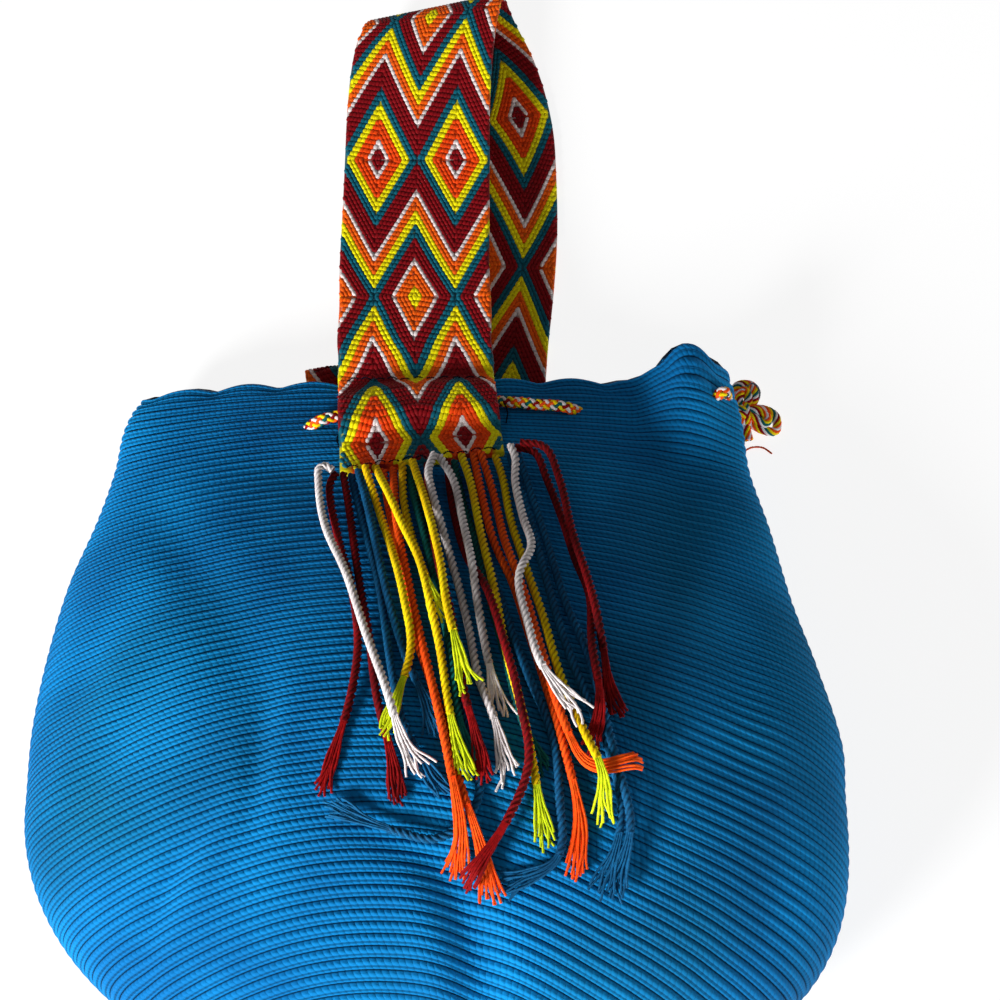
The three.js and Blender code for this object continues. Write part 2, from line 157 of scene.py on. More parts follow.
def cornerFold(x, y):
    # how far the hump at the right corner is raised
    rise = ease((x - corner["riseStart"]) / corner["riseLength"])
    fall = 1 - corner["fallDepth"] * ease((x - corner["fallStart"]) / corner["fallLength"])
    return rise * fall * ease((y - corner["mouthStart"]) / corner["mouthLength"])


def upperSkin(x, y, inset=0.0):
    x = np.asarray(x, float)
    y = np.asarray(y, float)
    left = x < bag["ridgeX"]
    power = np.where(left, bag["leftPower"], bag["rightPower"])
    ratio = np.clip(np.abs(x - bag["ridgeX"]) / np.maximum(halfWidth(y, left, inset), 1e-6), 0.0, 1.0)
    side = along(sideLine, y)
    rise = (along(topLine, y) - inset - side) * roundEnd(y - inset, bag["topLength"] - inset, 2.4)
    return side + rise * (1 - ratio**power) ** (1 / power) + cornerFold(x, y) * bag["cornerHeight"]


# the strap lies in three layers under the bag, which is lifted there
stackHeight = 3 * strapSize["thickness"] + 4 * strapSize["gap"]
stack = {"start": 92.0, "startLength": 38.0, "middleX": -6.0, "halfWidth": 52.0, "edge": 34.0}


def underSkin(x, y, inset=0.0):
    left = x < bag["ridgeX"]
    drop = (along(sideLine, y) + 0.8 - inset) * roundEnd(y - inset, bag["bottomLength"] - inset, 2.6)
    ratio = np.clip(np.abs(x - bag["ridgeX"]) / np.maximum(halfWidth(y, left, inset), 1e-6), 0.0, 1.0)
    power = bag["underPower"]
    around = along(sideLine, y) - drop * (1 - ratio**power) ** (1 / power)
    beside = (np.abs(x - stack["middleX"]) - stack["halfWidth"]) / stack["edge"]
    lift = stackHeight * ease((y - stack["start"]) / stack["startLength"]) * (1 - ease(beside))
    return np.maximum(around, lift + inset) + cornerFold(x, y) * bag["cornerHeight"]


def skinPoints(y, angle, inset=0.0):
    # points of the shell at the given lengths and angles round it
    cosine = np.cos(angle)
    left = cosine < 0
    upper = np.sin(angle) >= 0
    power = np.where(upper, np.where(left, bag["leftPower"], bag["rightPower"]), bag["underPower"])
    x = bag["ridgeX"] + np.where(left, -1, 1) * halfWidth(y, left, inset) * np.abs(cosine) ** (2 / power)
    z = np.where(upper, upperSkin(x, y, inset), underSkin(x, y, inset))
    return np.stack([x, y + 0 * x, z], axis=-1)


def catmull(points, perSpan=16):
    # centripetal curve through given points
    points = [np.array(p, float) for p in points]
    ends = [2 * points[0] - points[1]] + points + [2 * points[-1] - points[-2]]
    line = []
    for i in range(len(points) - 1):
        p0, p1, p2, p3 = ends[i:i + 4]
        spans = [max(np.linalg.norm(b - a), 1e-6) ** 0.5 for a, b in ((p0, p1), (p1, p2), (p2, p3))]
        k0, k1, k2, k3 = 0.0, spans[0], spans[0] + spans[1], spans[0] + spans[1] + spans[2]
        for step in range(perSpan):
            k = k1 + (k2 - k1) * step / perSpan
            a1 = (k1 - k) / (k1 - k0) * p0 + (k - k0) / (k1 - k0) * p1
            a2 = (k2 - k) / (k2 - k1) * p1 + (k - k1) / (k2 - k1) * p2
            a3 = (k3 - k) / (k3 - k2) * p2 + (k - k2) / (k3 - k2) * p3
            b1 = (k2 - k) / (k2 - k0) * a1 + (k - k0) / (k2 - k0) * a2
            b2 = (k3 - k) / (k3 - k1) * a2 + (k - k1) / (k3 - k1) * a3
            line.append((k2 - k) / (k2 - k1) * b1 + (k - k1) / (k2 - k1) * b2)
    line.append(points[-1])
    return np.array(line)


def lengthsOf(line):
    return np.concatenate([[0.0], np.cumsum(np.linalg.norm(np.diff(line, axis=0), axis=1))])


def evenly(line, step):
    # the same line with evenly spaced points
    lengths = lengthsOf(line)
    count = max(int(round(lengths[-1] / step)), 2)
    marks = np.linspace(0, lengths[-1], count + 1)
    return np.stack([np.interp(marks, lengths, line[:, axis]) for axis in range(line.shape[1])], axis=1)


def linearColour(hexColour):
    values = []
    for start in (1, 3, 5):
        channel = int(hexColour[start:start + 2], 16) / 255
        values.append(channel / 12.92 if channel <= 0.04045 else ((channel + 0.055) / 1.055) ** 2.4)
    return (*values, 1.0)


def addNode(tree, kind, links=None, **settings):
    # one node with its settings; links gives an input a value, an output socket or a node's first output
    node = tree.nodes.new(kind)
    for name, value in settings.items():
        setattr(node, name, value)
    for key, value in (links or {}).items():
        if isinstance(value, bpy.types.Node):
            value = value.outputs[0]
        if isinstance(value, bpy.types.NodeSocket):
            tree.links.new(value, node.inputs[key])
        else:
            node.inputs[key].default_value = value
    return node


def newMaterial(name):
    material = bpy.data.materials.new(name)
    material.use_nodes = True
    material.node_tree.nodes.clear()
    return material, material.node_tree


def meshObject(name, vertices, faces, smooth=True):
    mesh = bpy.data.meshes.new(name)
    mesh.from_pydata([tuple(v) for v in vertices], [], faces)
    mesh.update()
    if smooth:
        mesh.polygons.foreach_set("use_smooth", [True] * len(mesh.polygons))
    piece = bpy.data.objects.new(name, mesh)
    scene.collection.objects.link(piece)
    return piece


def settle(piece, nodes):
    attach(piece, "root")
    if nodes:
        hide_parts(*nodes)


def cottonYarn(name, hexColour, shadeColour):
    # Mercerised cotton yarn: dull with a soft sheen, with painted shade in the grooves where plies meet
    material, tree = newMaterial(name)
    objectPlace = addNode(tree, "ShaderNodeTexCoord").outputs["Object"]
    fibres = addNode(tree, "ShaderNodeTexNoise", {"Vector": objectPlace, "Scale": 900.0, "Detail": 3.0,
                                                  "Roughness": 0.6})
    patches = addNode(tree, "ShaderNodeTexNoise", {"Vector": objectPlace, "Scale": 60.0})
    blend = addNode(tree, "ShaderNodeMath", {0: fibres, 1: patches}, operation="MULTIPLY")
    spread = addNode(tree, "ShaderNodeMapRange", {"Value": blend, "From Min": 0.12, "From Max": 0.36})
    shadow = linearColour(shadeColour)
    tone = addNode(tree, "ShaderNodeMix", {0: spread, 6: shadow, 7: linearColour(hexColour)}, data_type="RGBA")
    # painted shade: the colour darkens towards a third of the darker tone in the grooves between plies
    hollow = addNode(tree, "ShaderNodeAttribute", attribute_type="GEOMETRY", attribute_name="hollow")
    depth = addNode(tree, "ShaderNodeMapRange", {"Value": hollow.outputs["Fac"], "From Min": 0.1, "From Max": 0.4,
                                                 "To Min": 0.0, "To Max": 0.85})
    paintedGrooveShade = [0.3 * channel for channel in shadow[:3]] + [1.0]
    between = addNode(tree, "ShaderNodeMix", {0: depth, 6: tone.outputs[2], 7: paintedGrooveShade}, data_type="RGBA")
    bump = addNode(tree, "ShaderNodeBump", {"Height": fibres, "Strength": 0.35, "Distance": 0.0004})
    shader = addNode(tree, "ShaderNodeBsdfPrincipled", {"Base Color": between.outputs[2], "Normal": bump})
    shader.inputs["Roughness"].default_value = 0.75
    shader.inputs["Specular IOR Level"].default_value = 0.15
    shader.inputs["IOR"].default_value = 1.5
    addNode(tree, "ShaderNodeOutputMaterial", {"Surface": shader})
    return material


yarnMaterials = {
    "white": cottonYarn("white cotton yarn", "#FAF4F2", "#D8CCCC"),
    "maroon": cottonYarn("maroon cotton yarn", "#8E0A10", "#520208"),
    # red also colours the maroon strands' frayed ends and lemon the yellow ones, as lighter copies in painted light
    "red": cottonYarn("red cotton floss", "#A40A0C", "#6C0408"),
    "orange": cottonYarn("orange cotton yarn", "#FF6214", "#F04808"),
    "yellow": cottonYarn("yellow cotton yarn", "#FFE808", "#ECB800"),
    "lemon": cottonYarn("lemon cotton floss in painted light", "#E6F01C", "#B8CC10"),
    "teal": cottonYarn("teal cotton yarn", "#0A6E68", "#05484A"),
    "blue": cottonYarn("blue cotton yarn", "#156CA0", "#0A466E"),
    "navy": cottonYarn("navy sewing thread", "#0A1430", "#040814"),
    "grey": cottonYarn("grey cotton thread", "#8E9098", "#5C5E68"),
}


def newTree(name, inputs):
    # a geometry tree with named inputs, each a name, a kind and a default, and one mesh as its output
    tree = bpy.data.node_groups.new(name, "GeometryNodeTree")
    for label, kind, default in inputs:
        socket = tree.interface.new_socket(name=label, in_out="INPUT", socket_type="NodeSocket" + kind)
        if default is not None:
            socket.default_value = default
    tree.interface.new_socket(name="Mesh", in_out="OUTPUT", socket_type="NodeSocketGeometry")
    return tree, addNode(tree, "NodeGroupInput").outputs


def finishTree(tree, shape, material):
    smooth = addNode(tree, "GeometryNodeSetShadeSmooth", {0: shape})
    real = addNode(tree, "GeometryNodeRealizeInstances", {0: smooth})
    finished = addNode(tree, "GeometryNodeSetMaterial", {"Geometry": real, "Material": material})
    addNode(tree, "NodeGroupOutput", {0: finished})


def twistedCordTree():
    # sweeps a lobed section along the spline and turns it as it goes, as plies lie in a cord
    tree, given = newTree("twisted cord", [
        ("Curve", "Geometry", None), ("Radius", "Float", 0.0014), ("Plies", "Float", 3.0), ("Groove", "Float", 0.3),
        ("Twist Length", "Float", 0.009), ("Step", "Float", 0.001), ("Section Points", "Int", 12),
        ("Material", "Material", None)])
    resampled = addNode(tree, "GeometryNodeResampleCurve", {"Curve": given["Curve"], "Length": given["Step"]},
                        mode="LENGTH")
    travelled = addNode(tree, "GeometryNodeSplineParameter").outputs["Length"]
    turns = addNode(tree, "ShaderNodeMath", {0: travelled, 1: given["Twist Length"]}, operation="DIVIDE")
    angle = addNode(tree, "ShaderNodeMath", {0: turns, 1: 2 * math.pi}, operation="MULTIPLY")
    twisted = addNode(tree, "GeometryNodeSetCurveTilt", {"Curve": resampled, "Tilt": angle})
    circle = addNode(tree, "GeometryNodeCurvePrimitiveCircle", {"Resolution": given["Section Points"],
                                                                "Radius": given["Radius"]})
    position = addNode(tree, "GeometryNodeInputPosition")
    parts = addNode(tree, "ShaderNodeSeparateXYZ", {0: position}).outputs
    bearing = addNode(tree, "ShaderNodeMath", {0: parts["Y"], 1: parts["X"]}, operation="ARCTAN2")
    halfPlies = addNode(tree, "ShaderNodeMath", {0: given["Plies"], 1: 0.5}, operation="MULTIPLY")
    lobeAngle = addNode(tree, "ShaderNodeMath", {0: bearing, 1: halfPlies}, operation="MULTIPLY")
    wave = addNode(tree, "ShaderNodeMath", {0: lobeAngle}, operation="SINE")
    lobe = addNode(tree, "ShaderNodeMath", {0: wave}, operation="ABSOLUTE")
    lack = addNode(tree, "ShaderNodeMath", {0: 1.0, 1: lobe}, operation="SUBTRACT")
    cut = addNode(tree, "ShaderNodeMath", {0: lack, 1: given["Groove"]}, operation="MULTIPLY")
    scale = addNode(tree, "ShaderNodeMath", {0: 1.0, 1: cut}, operation="SUBTRACT")
    moved = addNode(tree, "ShaderNodeVectorMath", {0: position, "Scale": scale}, operation="SCALE")
    # how deep the section is cut is kept for the painted shade in the yarn's grooves
    marked = addNode(tree, "GeometryNodeStoreNamedAttribute", {"Geometry": circle, "Name": "hollow", "Value": cut},
                     domain="POINT", data_type="FLOAT")
    section = addNode(tree, "GeometryNodeSetPosition", {"Geometry": marked, "Position": moved})
    swept = addNode(tree, "GeometryNodeCurveToMesh", {"Curve": twisted, "Profile Curve": section, "Fill Caps": True})
    finishTree(tree, swept, given["Material"])
    return tree


def runTree(source, tree, name, **values):
    # runs a tree on an object and keeps the result as a plain mesh
    modifier = source.modifiers.new("nodes", "NODES")
    modifier.node_group = tree
    identifiers = {item.name: item.identifier for item in tree.interface.items_tree if item.in_out == "INPUT"}
    for key, value in values.items():
        modifier[identifiers[key]] = value
    evaluated = source.evaluated_get(bpy.context.evaluated_depsgraph_get())
    mesh = bpy.data.meshes.new_from_object(evaluated)
    bpy.data.objects.remove(source, do_unlink=True)
    piece = bpy.data.objects.new(name, mesh)
    scene.collection.objects.link(piece)
    return piece


def curveObject(name, lines):
    # lines of points in metres as poly splines
    data = bpy.data.curves.new(name, "CURVE")
    data.dimensions = "3D"
    data.twist_mode = "MINIMUM"
    for line in lines:
        spline = data.splines.new("POLY")
        spline.points.add(len(line) - 1)
        for point, co in zip(spline.points, line):
            point.co = (*co, 1.0)
    source = bpy.data.objects.new(name, data)
    scene.collection.objects.link(source)
    return source


cordTree = twistedCordTree()
smoothCord = {"Groove": 0.0, "Plies": 2.0, "Twist Length": 30.0 * mm}


def cordPiece(name, lines, colour, diameter, step, sides, twist):
    # lines in metres as cords of one colour, with their diameter and step in millimetres
    return runTree(curveObject(name, lines), cordTree, name, **{
        "Radius": diameter / 2 * mm, "Step": step * mm, "Section Points": sides,
        "Material": yarnMaterials[colour], **twist})


def sewnEnd(x):
    return 250.5 + 0.19 * x


# the strands of the strap's sewn end: colour, and route down the bag as [x, y] from the strap
tails = [
    ("blue", [[-35, 249], [-32, 229], [-26, 205], [-20, 179], [-14, 142], [-9, 120], [1, 101], [7, 92]]),
    ("blue", [[-32, 248], [-27, 222], [-17, 176], [-9, 148], [-2, 131], [4, 115]]),
    ("maroon", [[-38, 245], [-35, 225], [-28, 183], [-23, 157], [-19, 131], [-13, 107], [-10, 88]]),
    ("maroon", [[-41, 245], [-43, 235], [-38, 207], [-31, 181], [-27, 153], [-29, 129], [-33, 113], [-38, 92]]),
    ("blue", [[-8, 244], [-2, 208], [4, 176], [10, 139], [15, 115], [18, 92], [5, 78], [-13, 81], [-36, 90]]),
    ("blue", [[12, 244], [19, 208], [26, 176], [35, 144], [45, 115], [47, 93], [46, 71], [26, 61]]),
    ("blue", [[30, 237], [40, 205], [45, 179], [51, 153], [59, 128], [66, 108], [69, 86], [61, 58]]),
    ("blue", [[33, 237], [44, 206], [51, 174], [59, 149], [64, 123], [68, 104], [72, 83], [65, 58]]),
    ("maroon", [[32, 260], [40, 252], [45, 238], [50, 220], [55, 197], [60, 178], [60, 154], [62, 128], [58, 108]]),
    ("maroon", [[34, 262], [44, 253], [50, 236], [54, 209], [60, 180], [64, 154], [67, 132], [72, 123]]),
    ("teal", [[-12, 245], [-8, 225], [-3, 202], [2, 178], [8, 147], [11, 122], [16, 103]]),
    ("teal", [[7, 248], [10, 231], [16, 205], [22, 176], [28, 148], [33, 125], [42, 102]]),
    ("maroon", [[-4, 244], [-2, 219], [2, 191], [8, 162], [12, 135], [17, 115], [21, 96]]),
    ("orange", [[-22, 245], [-18, 219], [-11, 189], [-7, 162], [0, 139], [6, 119], [12, 96], [19, 74], [24, 52]]),
    ("orange", [[-18, 244], [-15, 213], [-10, 186], [-4, 157], [2, 131], [8, 103], [12, 78], [9, 61]]),
    ("orange", [[15, 254], [18, 231], [23, 205], [31, 182], [37, 158], [43, 135], [49, 111], [54, 86], [52, 61]]),
    ("orange", [[18, 255], [23, 231], [28, 202], [35, 177], [41, 151], [48, 123], [58, 104], [78, 107]]),
    ("yellow", [[-29, 245], [-23, 222], [-16, 197], [-10, 171], [-7, 150], [-11, 131], [-16, 115]]),
    ("yellow", [[-14, 247], [-13, 228], [-9, 207], [-2, 181], [4, 162]]),
    ("yellow", [[-10, 246], [-3, 217], [3, 188], [6, 167], [10, 148], [14, 131]]),
    ("yellow", [[10, 252], [14, 234], [18, 208], [24, 176], [28, 150], [35, 119], [39, 96], [42, 75]]),
    ("yellow", [[24, 256], [27, 240], [30, 217], [36, 191], [42, 168], [48, 141], [56, 117], [62, 100], [63, 84]]),
    ("yellow", [[-25, 245], [-22, 235], [-13, 210], [-5, 189], [0, 167], [4, 148], [8, 122], [14, 99]]),
    ("maroon", [[4, 248], [7, 223], [13, 195], [21, 176], [27, 153], [33, 127], [36, 104], [27, 81], [12, 59]]),
    ("white", [[-42, 250], [-47, 243], [-47, 231], [-43, 211], [-33, 185], [-24, 157], [-16, 134], [-10, 115],
               [-3, 101]]),
    ("white", [[1, 248], [7, 235], [11, 213], [15, 189], [18, 167], [22, 144], [26, 123]]),
    ("white", [[-1, 248], [-3, 238], [-1, 225], [4, 205], [10, 181], [14, 162], [18, 139], [24, 121], [29, 100]]),
    ("white", [[30, 262], [32, 248], [32, 235], [35, 215], [38, 199], [33, 182], [36, 162], [42, 140], [55, 123]]),
]


def layRoute(points, laid):
    # lays a strand over the bag and over the strands before it
    flat = [[x, y] for x, y in points]
    flat[0][1] = sewnEnd(flat[0][0]) - tailSize["tuck"]
    route = evenly(catmull(flat), tailSize["step"])
    reach = tailSize["diameter"] + tailSize["gap"]
    floor = upperSkin(route[:, 0], route[:, 1]) + tailSize["diameter"] / 2 + tailSize["gap"]
    if len(laid):
        distance = np.hypot(route[:, None, 0] - laid[None, :, 0], route[:, None, 1] - laid[None, :, 1])
        rise = np.sqrt(np.maximum(reach**2 - distance**2, 0))
        above = np.where(distance < reach, laid[None, :, 2] + rise, -1.0).max(axis=1)
        floor = np.maximum(floor, above)
    padded = np.concatenate([[floor[0]], floor, [floor[-1]]])
    lowest = np.maximum(np.maximum(padded[:-2], padded[1:-1]), padded[2:])
    height = lowest.copy()
    for _ in range(12):
        for k in range(1, len(height) - 1):
            height[k] = max(lowest[k], (height[k - 1] + height[k + 1]) / 2)
    return np.column_stack([route, height])


def makeTails():
    laid = np.zeros((0, 3))
    counts = {}
    made = []
    for colour, points in tails:
        counts[colour] = counts.get(colour, 0) + 1
        route = layRoute(points, laid)
        laid = np.vstack([laid, evenly(route, 1.0)])
        name = f"tail_{colour}_{counts[colour]}"
        made.append((name, colour, evenly(catmull(route, 4), 1.5)))
    return made


tailRoutes = makeTails()
print("fringe laid:", len(tailRoutes), "strands")

fringe = {
    "swell": 1.24,                  # cotton strands look fuller than their core
    "groove": 0.4,
    "twistLength": 8.1,             # mm for one turn of three plies
    "step": 0.72,                   # mm between sections
    "flossDiameter": 1.0,           # mm
    "flossStep": 1.9,
    "bundle": 0.85,                 # mm, half the width of the yarns where they leave the twist
    "hookStart": 0.6,               # share of a yarn's length where its end starts to hook
    "seed": 7,
}
strandTwist = {"Groove": fringe["groove"], "Plies": 3.0, "Twist Length": fringe["twistLength"] * mm}
# how each colour's ends are untwisted: length in mm, yarns, spread in mm at the tip, share past the tip
frayedEnds = {
    "white": (24, 10, 5.2, 0.15), "yellow": (25, 10, 4.6, 0.12), "maroon": (32, 13, 4.0, 0.05),
    "orange": (42, 12, 4.8, 0.05), "teal": (20, 9, 4.0, 0.1), "blue": (26, 10, 5.0, 0.08),
}
# the untwisted floss gets a lighter copy of its strand's colour, as painted light
paintedLightFlossColours = {"yellow": "lemon", "maroon": "red"}


def joined(pieces, name):
    # one mesh object from several, with their materials
    keep = pieces[0]
    for piece in bpy.context.selected_objects:
        piece.select_set(False)
    for piece in pieces:
        piece.select_set(True)
    bpy.context.view_layer.objects.active = keep
    with bpy.context.temp_override(active_object=keep, selected_editable_objects=pieces,
                                   selected_objects=pieces):
        bpy.ops.object.join()
    keep.name = name
    return keep


def overSkin(points, clearance):
    # keeps points above the bag's skin and off the floor
    points = points.copy()
    y = np.clip(points[:, 1], 1.0, bag["rimY"])
    skin = upperSkin(points[:, 0], y) + clearance
    points[:, 2] = np.maximum(points[:, 2], skin)
    return points


def frayedYarns(route, colour, chance):
    # yarns that leave the twist, follow the strand's line and fan out at its tip
    length, count, spread, past = frayedEnds[colour]
    lengths = lengthsOf(route)
    last = (route[-1] - route[-3]) / np.linalg.norm(route[-1] - route[-3])
    lines = []
    for k in range(count):
        share = (k / (count - 1) - 0.5) * 2 + chance.uniform(-0.1, 0.1)
        reach = 0.9 + past * 2 * chance.random() - 0.12 * abs(share)
        sway = chance.uniform(-1.5, 1.5)
        beat = chance.uniform(0, 6.28)
        hook = chance.choice([-1, 0, 0, 1]) * chance.uniform(2.0, 4.0)
        layer = 0.45 * (k % 3)
        points = []
        for t in np.linspace(-0.06, reach, 12):
            at = lengths[-1] - length + length * t
            middle = np.array([np.interp(at, lengths, route[:, axis]) for axis in range(3)])
            if at > lengths[-1]:
                middle = middle + last * (at - lengths[-1])
            near = min(at, lengths[-1])
            ahead = np.array([np.interp(near + 3, lengths, route[:, axis])
                              - np.interp(near - 3, lengths, route[:, axis]) for axis in range(3)])
            side = np.cross(ahead, (0, 0, 1.0))
            side /= np.linalg.norm(side)
            open_ = max(t, 0.0) ** 1.7
            out = share * (fringe["bundle"] + (spread - fringe["bundle"]) * open_)
            out += sway * open_ * math.sin(beat + 9 * t) + hook * max(t - fringe["hookStart"], 0) ** 2 * 4
            rise = (0.9 - layer) * (1 - open_) + 0.9 * open_ * abs(math.sin(beat + 3 * t))
            points.append(middle + side * out + np.array([0, 0, rise - 0.5]))
        lines.append(overSkin(evenly(catmull(points, 4), fringe["flossStep"]), 0.5))
    return lines


def makeTailPieces():
    chance = random.Random(fringe["seed"])
    for name, colour, route in tailRoutes:
        lengths = lengthsOf(route)
        kept = lengths <= lengths[-1] - frayedEnds[colour][0] * 0.9
        line = place(route[kept])
        piece = cordPiece(name + "_yarn", [line], colour, tailSize["diameter"] * fringe["swell"], fringe["step"], 9,
                          strandTwist)
        settle(piece, [name])
        yarns = [place(yarn) for yarn in frayedYarns(route, colour, chance)]
        tuft = cordPiece(name + "_frayed_end", yarns, paintedLightFlossColours.get(colour, colour), fringe["flossDiameter"],
                         fringe["flossStep"], 5, smoothCord)
        settle(tuft, [])


makeTailPieces()
print("fringe made")

drawcord = {
    # every other yarn winds the other way, over and under the rest
    "plies": ["white", "orange", "yellow", "red", "white", "teal", "yellow", "orange"],
    "plyDiameter": 1.75,            # mm
    "plyCircle": 1.65,              # mm from the cord's axis to a ply's
    "weave": 0.4,                   # mm a ply moves in and out
    "twistLength": 12.5,            # mm for one turn
    "step": 1.25,
    "bowScale": 0.86,
    "threadDiameter": 1.1,
}
threadTwist = {"Groove": 0.3, "Plies": 2.0, "Twist Length": 2.5 * mm}
cordRise = cordDiameter / 2 + 0.5
cordSink = bag["wall"] + cordDiameter / 2 + 0.5

# x, y and where: "on" the front skin, "in" behind it, "back" inside on the back wall
cordRoute = [
    (127, 303, 9), (126, 298, 18), (121.5, 291.5, "on"), (115.5, 289.5, "in"), (105, 288.5, "in"), (86, 288.5, "in"),
    (66, 285.5, "in"), (53, 284.5, "on"), (42, 285.5, "on"), (27, 287, "on"), (8, 287, "on"), (-14, 285, "on"),
    (-34, 281, "on"), (-50, 276, "on"), (-62, 274, "in"), (-80, 276, "in"), (-98, 279, "in"), (-112, 281, "in"),
    (-119, 282, 27), (-112, 281, "back"), (-92, 280, "back"), (-60, 280, "back"), (-20, 280, "back"),
    (20, 280, "back"), (60, 281, "back"), (90, 283, "back"), (108, 286, "back"), (119, 291, 20), (127, 296, 9),
]
bowLoops = [
    [(134, 303, 5), (131, 310, 5), (134, 317, 5), (140, 317, 5), (141, 310, 5), (136, 303, 5.4)],
    [(135, 302, 5), (143, 305, 5), (150, 302, 4), (150, 295, 3), (144, 295, 4), (136, 300, 4.8)],
    [(134, 301, 4.6), (132, 295, 3), (134, 288, 2.4)],
    [(134, 304, 7), (133.6, 309, 7.5), (136.4, 313.5, 7), (138, 309, 7), (136, 304, 7)],
    [(136, 302, 7), (141, 303, 7.5), (146.5, 299.5, 6.5), (145, 297, 6), (140, 299.5, 7), (136, 301, 7.5)],
    [(136, 301, 6), (136.6, 295, 5), (137.6, 290, 3.6)],
]
# thin threads that stick out of the knot
bowThreads = {
    "grey": [(137, 316, 6), (141, 317, 7), (143.5, 313.5, 6), (142.5, 309, 5), (140, 306, 5)],
    "orange": [(134, 289, 3), (134, 285, 1.6), (139, 287.5, 1.2), (144, 287.5, 1.0), (148, 284.5, 1.0)],
}


def cordPoint(x, y, where):
    height = {
        "on": float(upperSkin(x, y)) + cordRise,
        "in": float(upperSkin(x, y)) - cordSink,
        "back": float(underSkin(x, y)) + cordSink,
    }
    return (x, y, height[where] if isinstance(where, str) else where)


def plyLines(axis, circle, weave, turnLength, count):
    # lines of plies that wind round an axis
    line = evenly(axis, 1.0)
    ahead = np.gradient(line, axis=0)
    ahead /= np.linalg.norm(ahead, axis=1)[:, None]
    side = np.cross(ahead[0], (0.13, 0.21, 1.0))
    sides = []
    for direction in ahead:
        side = side - direction * np.dot(side, direction)
        side /= np.linalg.norm(side)
        sides.append(side)
    sides = np.array(sides)
    ups = np.cross(ahead, sides)
    marks = np.arange(len(line)) / turnLength * 2 * math.pi
    lines = []
    for k in range(count):
        way = 1 if k % 2 == 0 or weave is None else -1
        start = 2 * math.pi * k / count if weave is None else 4 * math.pi * (k // 2) / count
        angle = (way * marks + start)[:, None]
        reach = (circle + (weave or 0.0) * way * np.cos(count / 2 * marks))[:, None]
        lines.append(line + reach * (np.cos(angle) * sides + np.sin(angle) * ups))
    return line, lines


def braidedCord(name, axes, scale, woven=True):
    # a cord of several yarns, one material each
    perColour = {}
    paths = []
    for axis in axes:
        line, lines = plyLines(axis, drawcord["plyCircle"] * scale, drawcord["weave"] * scale if woven else None,
                               drawcord["twistLength"] * scale * (1 if woven else 1.25), len(drawcord["plies"]))
        paths.append(line)
        for colour, ply in zip(drawcord["plies"], lines):
            perColour.setdefault(colour, []).append(place(ply))
    pieces = [cordPiece(name + "_" + colour, lines, colour, drawcord["plyDiameter"] * scale, drawcord["step"], 6,
                        smoothCord) for colour, lines in perColour.items()]
    return joined(pieces, name), paths


def makeDrawcord():
    axis = catmull([cordPoint(*row) for row in cordRoute], 10)
    cord, paths = braidedCord("drawcord_twisted", [axis], 1.0)
    settle(cord, ["drawcord"])
    loops = [catmull(loop, 10) for loop in bowLoops]
    # two windings round the knot, one running along x and one along y
    wraps = [catmull([(131 + 6 * t, 302 + 5.0 * math.cos(5 * math.pi * t), 5.2 + 3.2 * math.sin(5 * math.pi * t))
                      for t in np.linspace(0, 1, 15)], 5),
             catmull([(134 + 3.6 * math.cos(4 * math.pi * t), 299.5 + 5 * t, 5.6 + 3.4 * math.sin(4 * math.pi * t))
                      for t in np.linspace(0, 1, 13)], 5)]
    bow, _ = braidedCord("drawcord_tied_bow", loops + wraps, drawcord["bowScale"], woven=False)
    threads = [cordPiece("bow_thread", [place(catmull(route, 10))], colour, drawcord["threadDiameter"], 0.8, 6,
                         threadTwist) for colour, route in bowThreads.items()]
    bow = joined([bow] + threads, "drawcord_tied_bow")
    settle(bow, ["drawcord_bow"])


makeDrawcord()
print("drawcord made")

crochet = {
    "rows": 86,                     # rounds from the mouth to the middle of the base
    "ringsPerRow": 4,
    "columns": 220,
    "stitchWidth": 2.5,             # mm
    "grooveDepth": [1.25, 0.2, 0.0, 0.22],   # mm below the crest, at each ring of a row
    "waviness": 0.9,                # mm that a row wanders
    "colour": "#0668A8",
    # painted shade for the grooves between rows and plies
    "paintedShadeColour": "#021C30",
    "paleColour": "#0A8CD2",
    "greenColour": "#08607E",
}

# soft dents of the slack belly: x, y, depth, reach along, reach across, turn in degrees
dents = [
    (-12, 78, 2.6, 26, 8, -28), (12, 56, 3.6, 26, 9, -62), (19, 24, 5.0, 30, 9, -80), (3, 34, -2.2, 30, 9, -75),
    (-138, 148, 2.6, 24, 10, 65), (-118, 126, 2.4, 26, 9, 55), (-142, 96, 1.8, 20, 8, 40), (-62, 108, 2.0, 24, 5, 88),
    (-54, 108, -1.2, 24, 6, 88), (-92, 68, 2.6, 17, 5, 60), (-84, 64, -1.4, 17, 6, 60),
    (-132, 92, 1.4, 26, 10, 60), (-146, 60, 1.6, 16, 10, 30),
    (70, 60, 2.0, 40, 12, 65), (112, 130, 2.4, 60, 16, 78), (96, 215, 2.0, 40, 14, 75), (-70, 150, 1.6, 46, 14, -70),
    (-100, 205, 1.8, 34, 12, -60), (-104, 28, 2.2, 22, 6, 80), (52, 208, 1.6, 40, 12, -75), (128, 70, 1.8, 36, 12, 70),
    (-60, 248, 1.4, 26, 12, -10), (30, 96, -1.2, 26, 18, 0), (-62, 88, -1.6, 40, 26, 20),
]


def dentDepth(x, y):
    total = np.zeros_like(x)
    for cx, cy, depth, reachAlong, reachAcross, turn in dents:
        angle = math.radians(turn)
        u = (x - cx) * math.cos(angle) + (y - cy) * math.sin(angle)
        v = -(x - cx) * math.sin(angle) + (y - cy) * math.cos(angle)
        total += depth * np.exp(-(u / reachAlong) ** 2 - (v / reachAcross) ** 2)
    return total


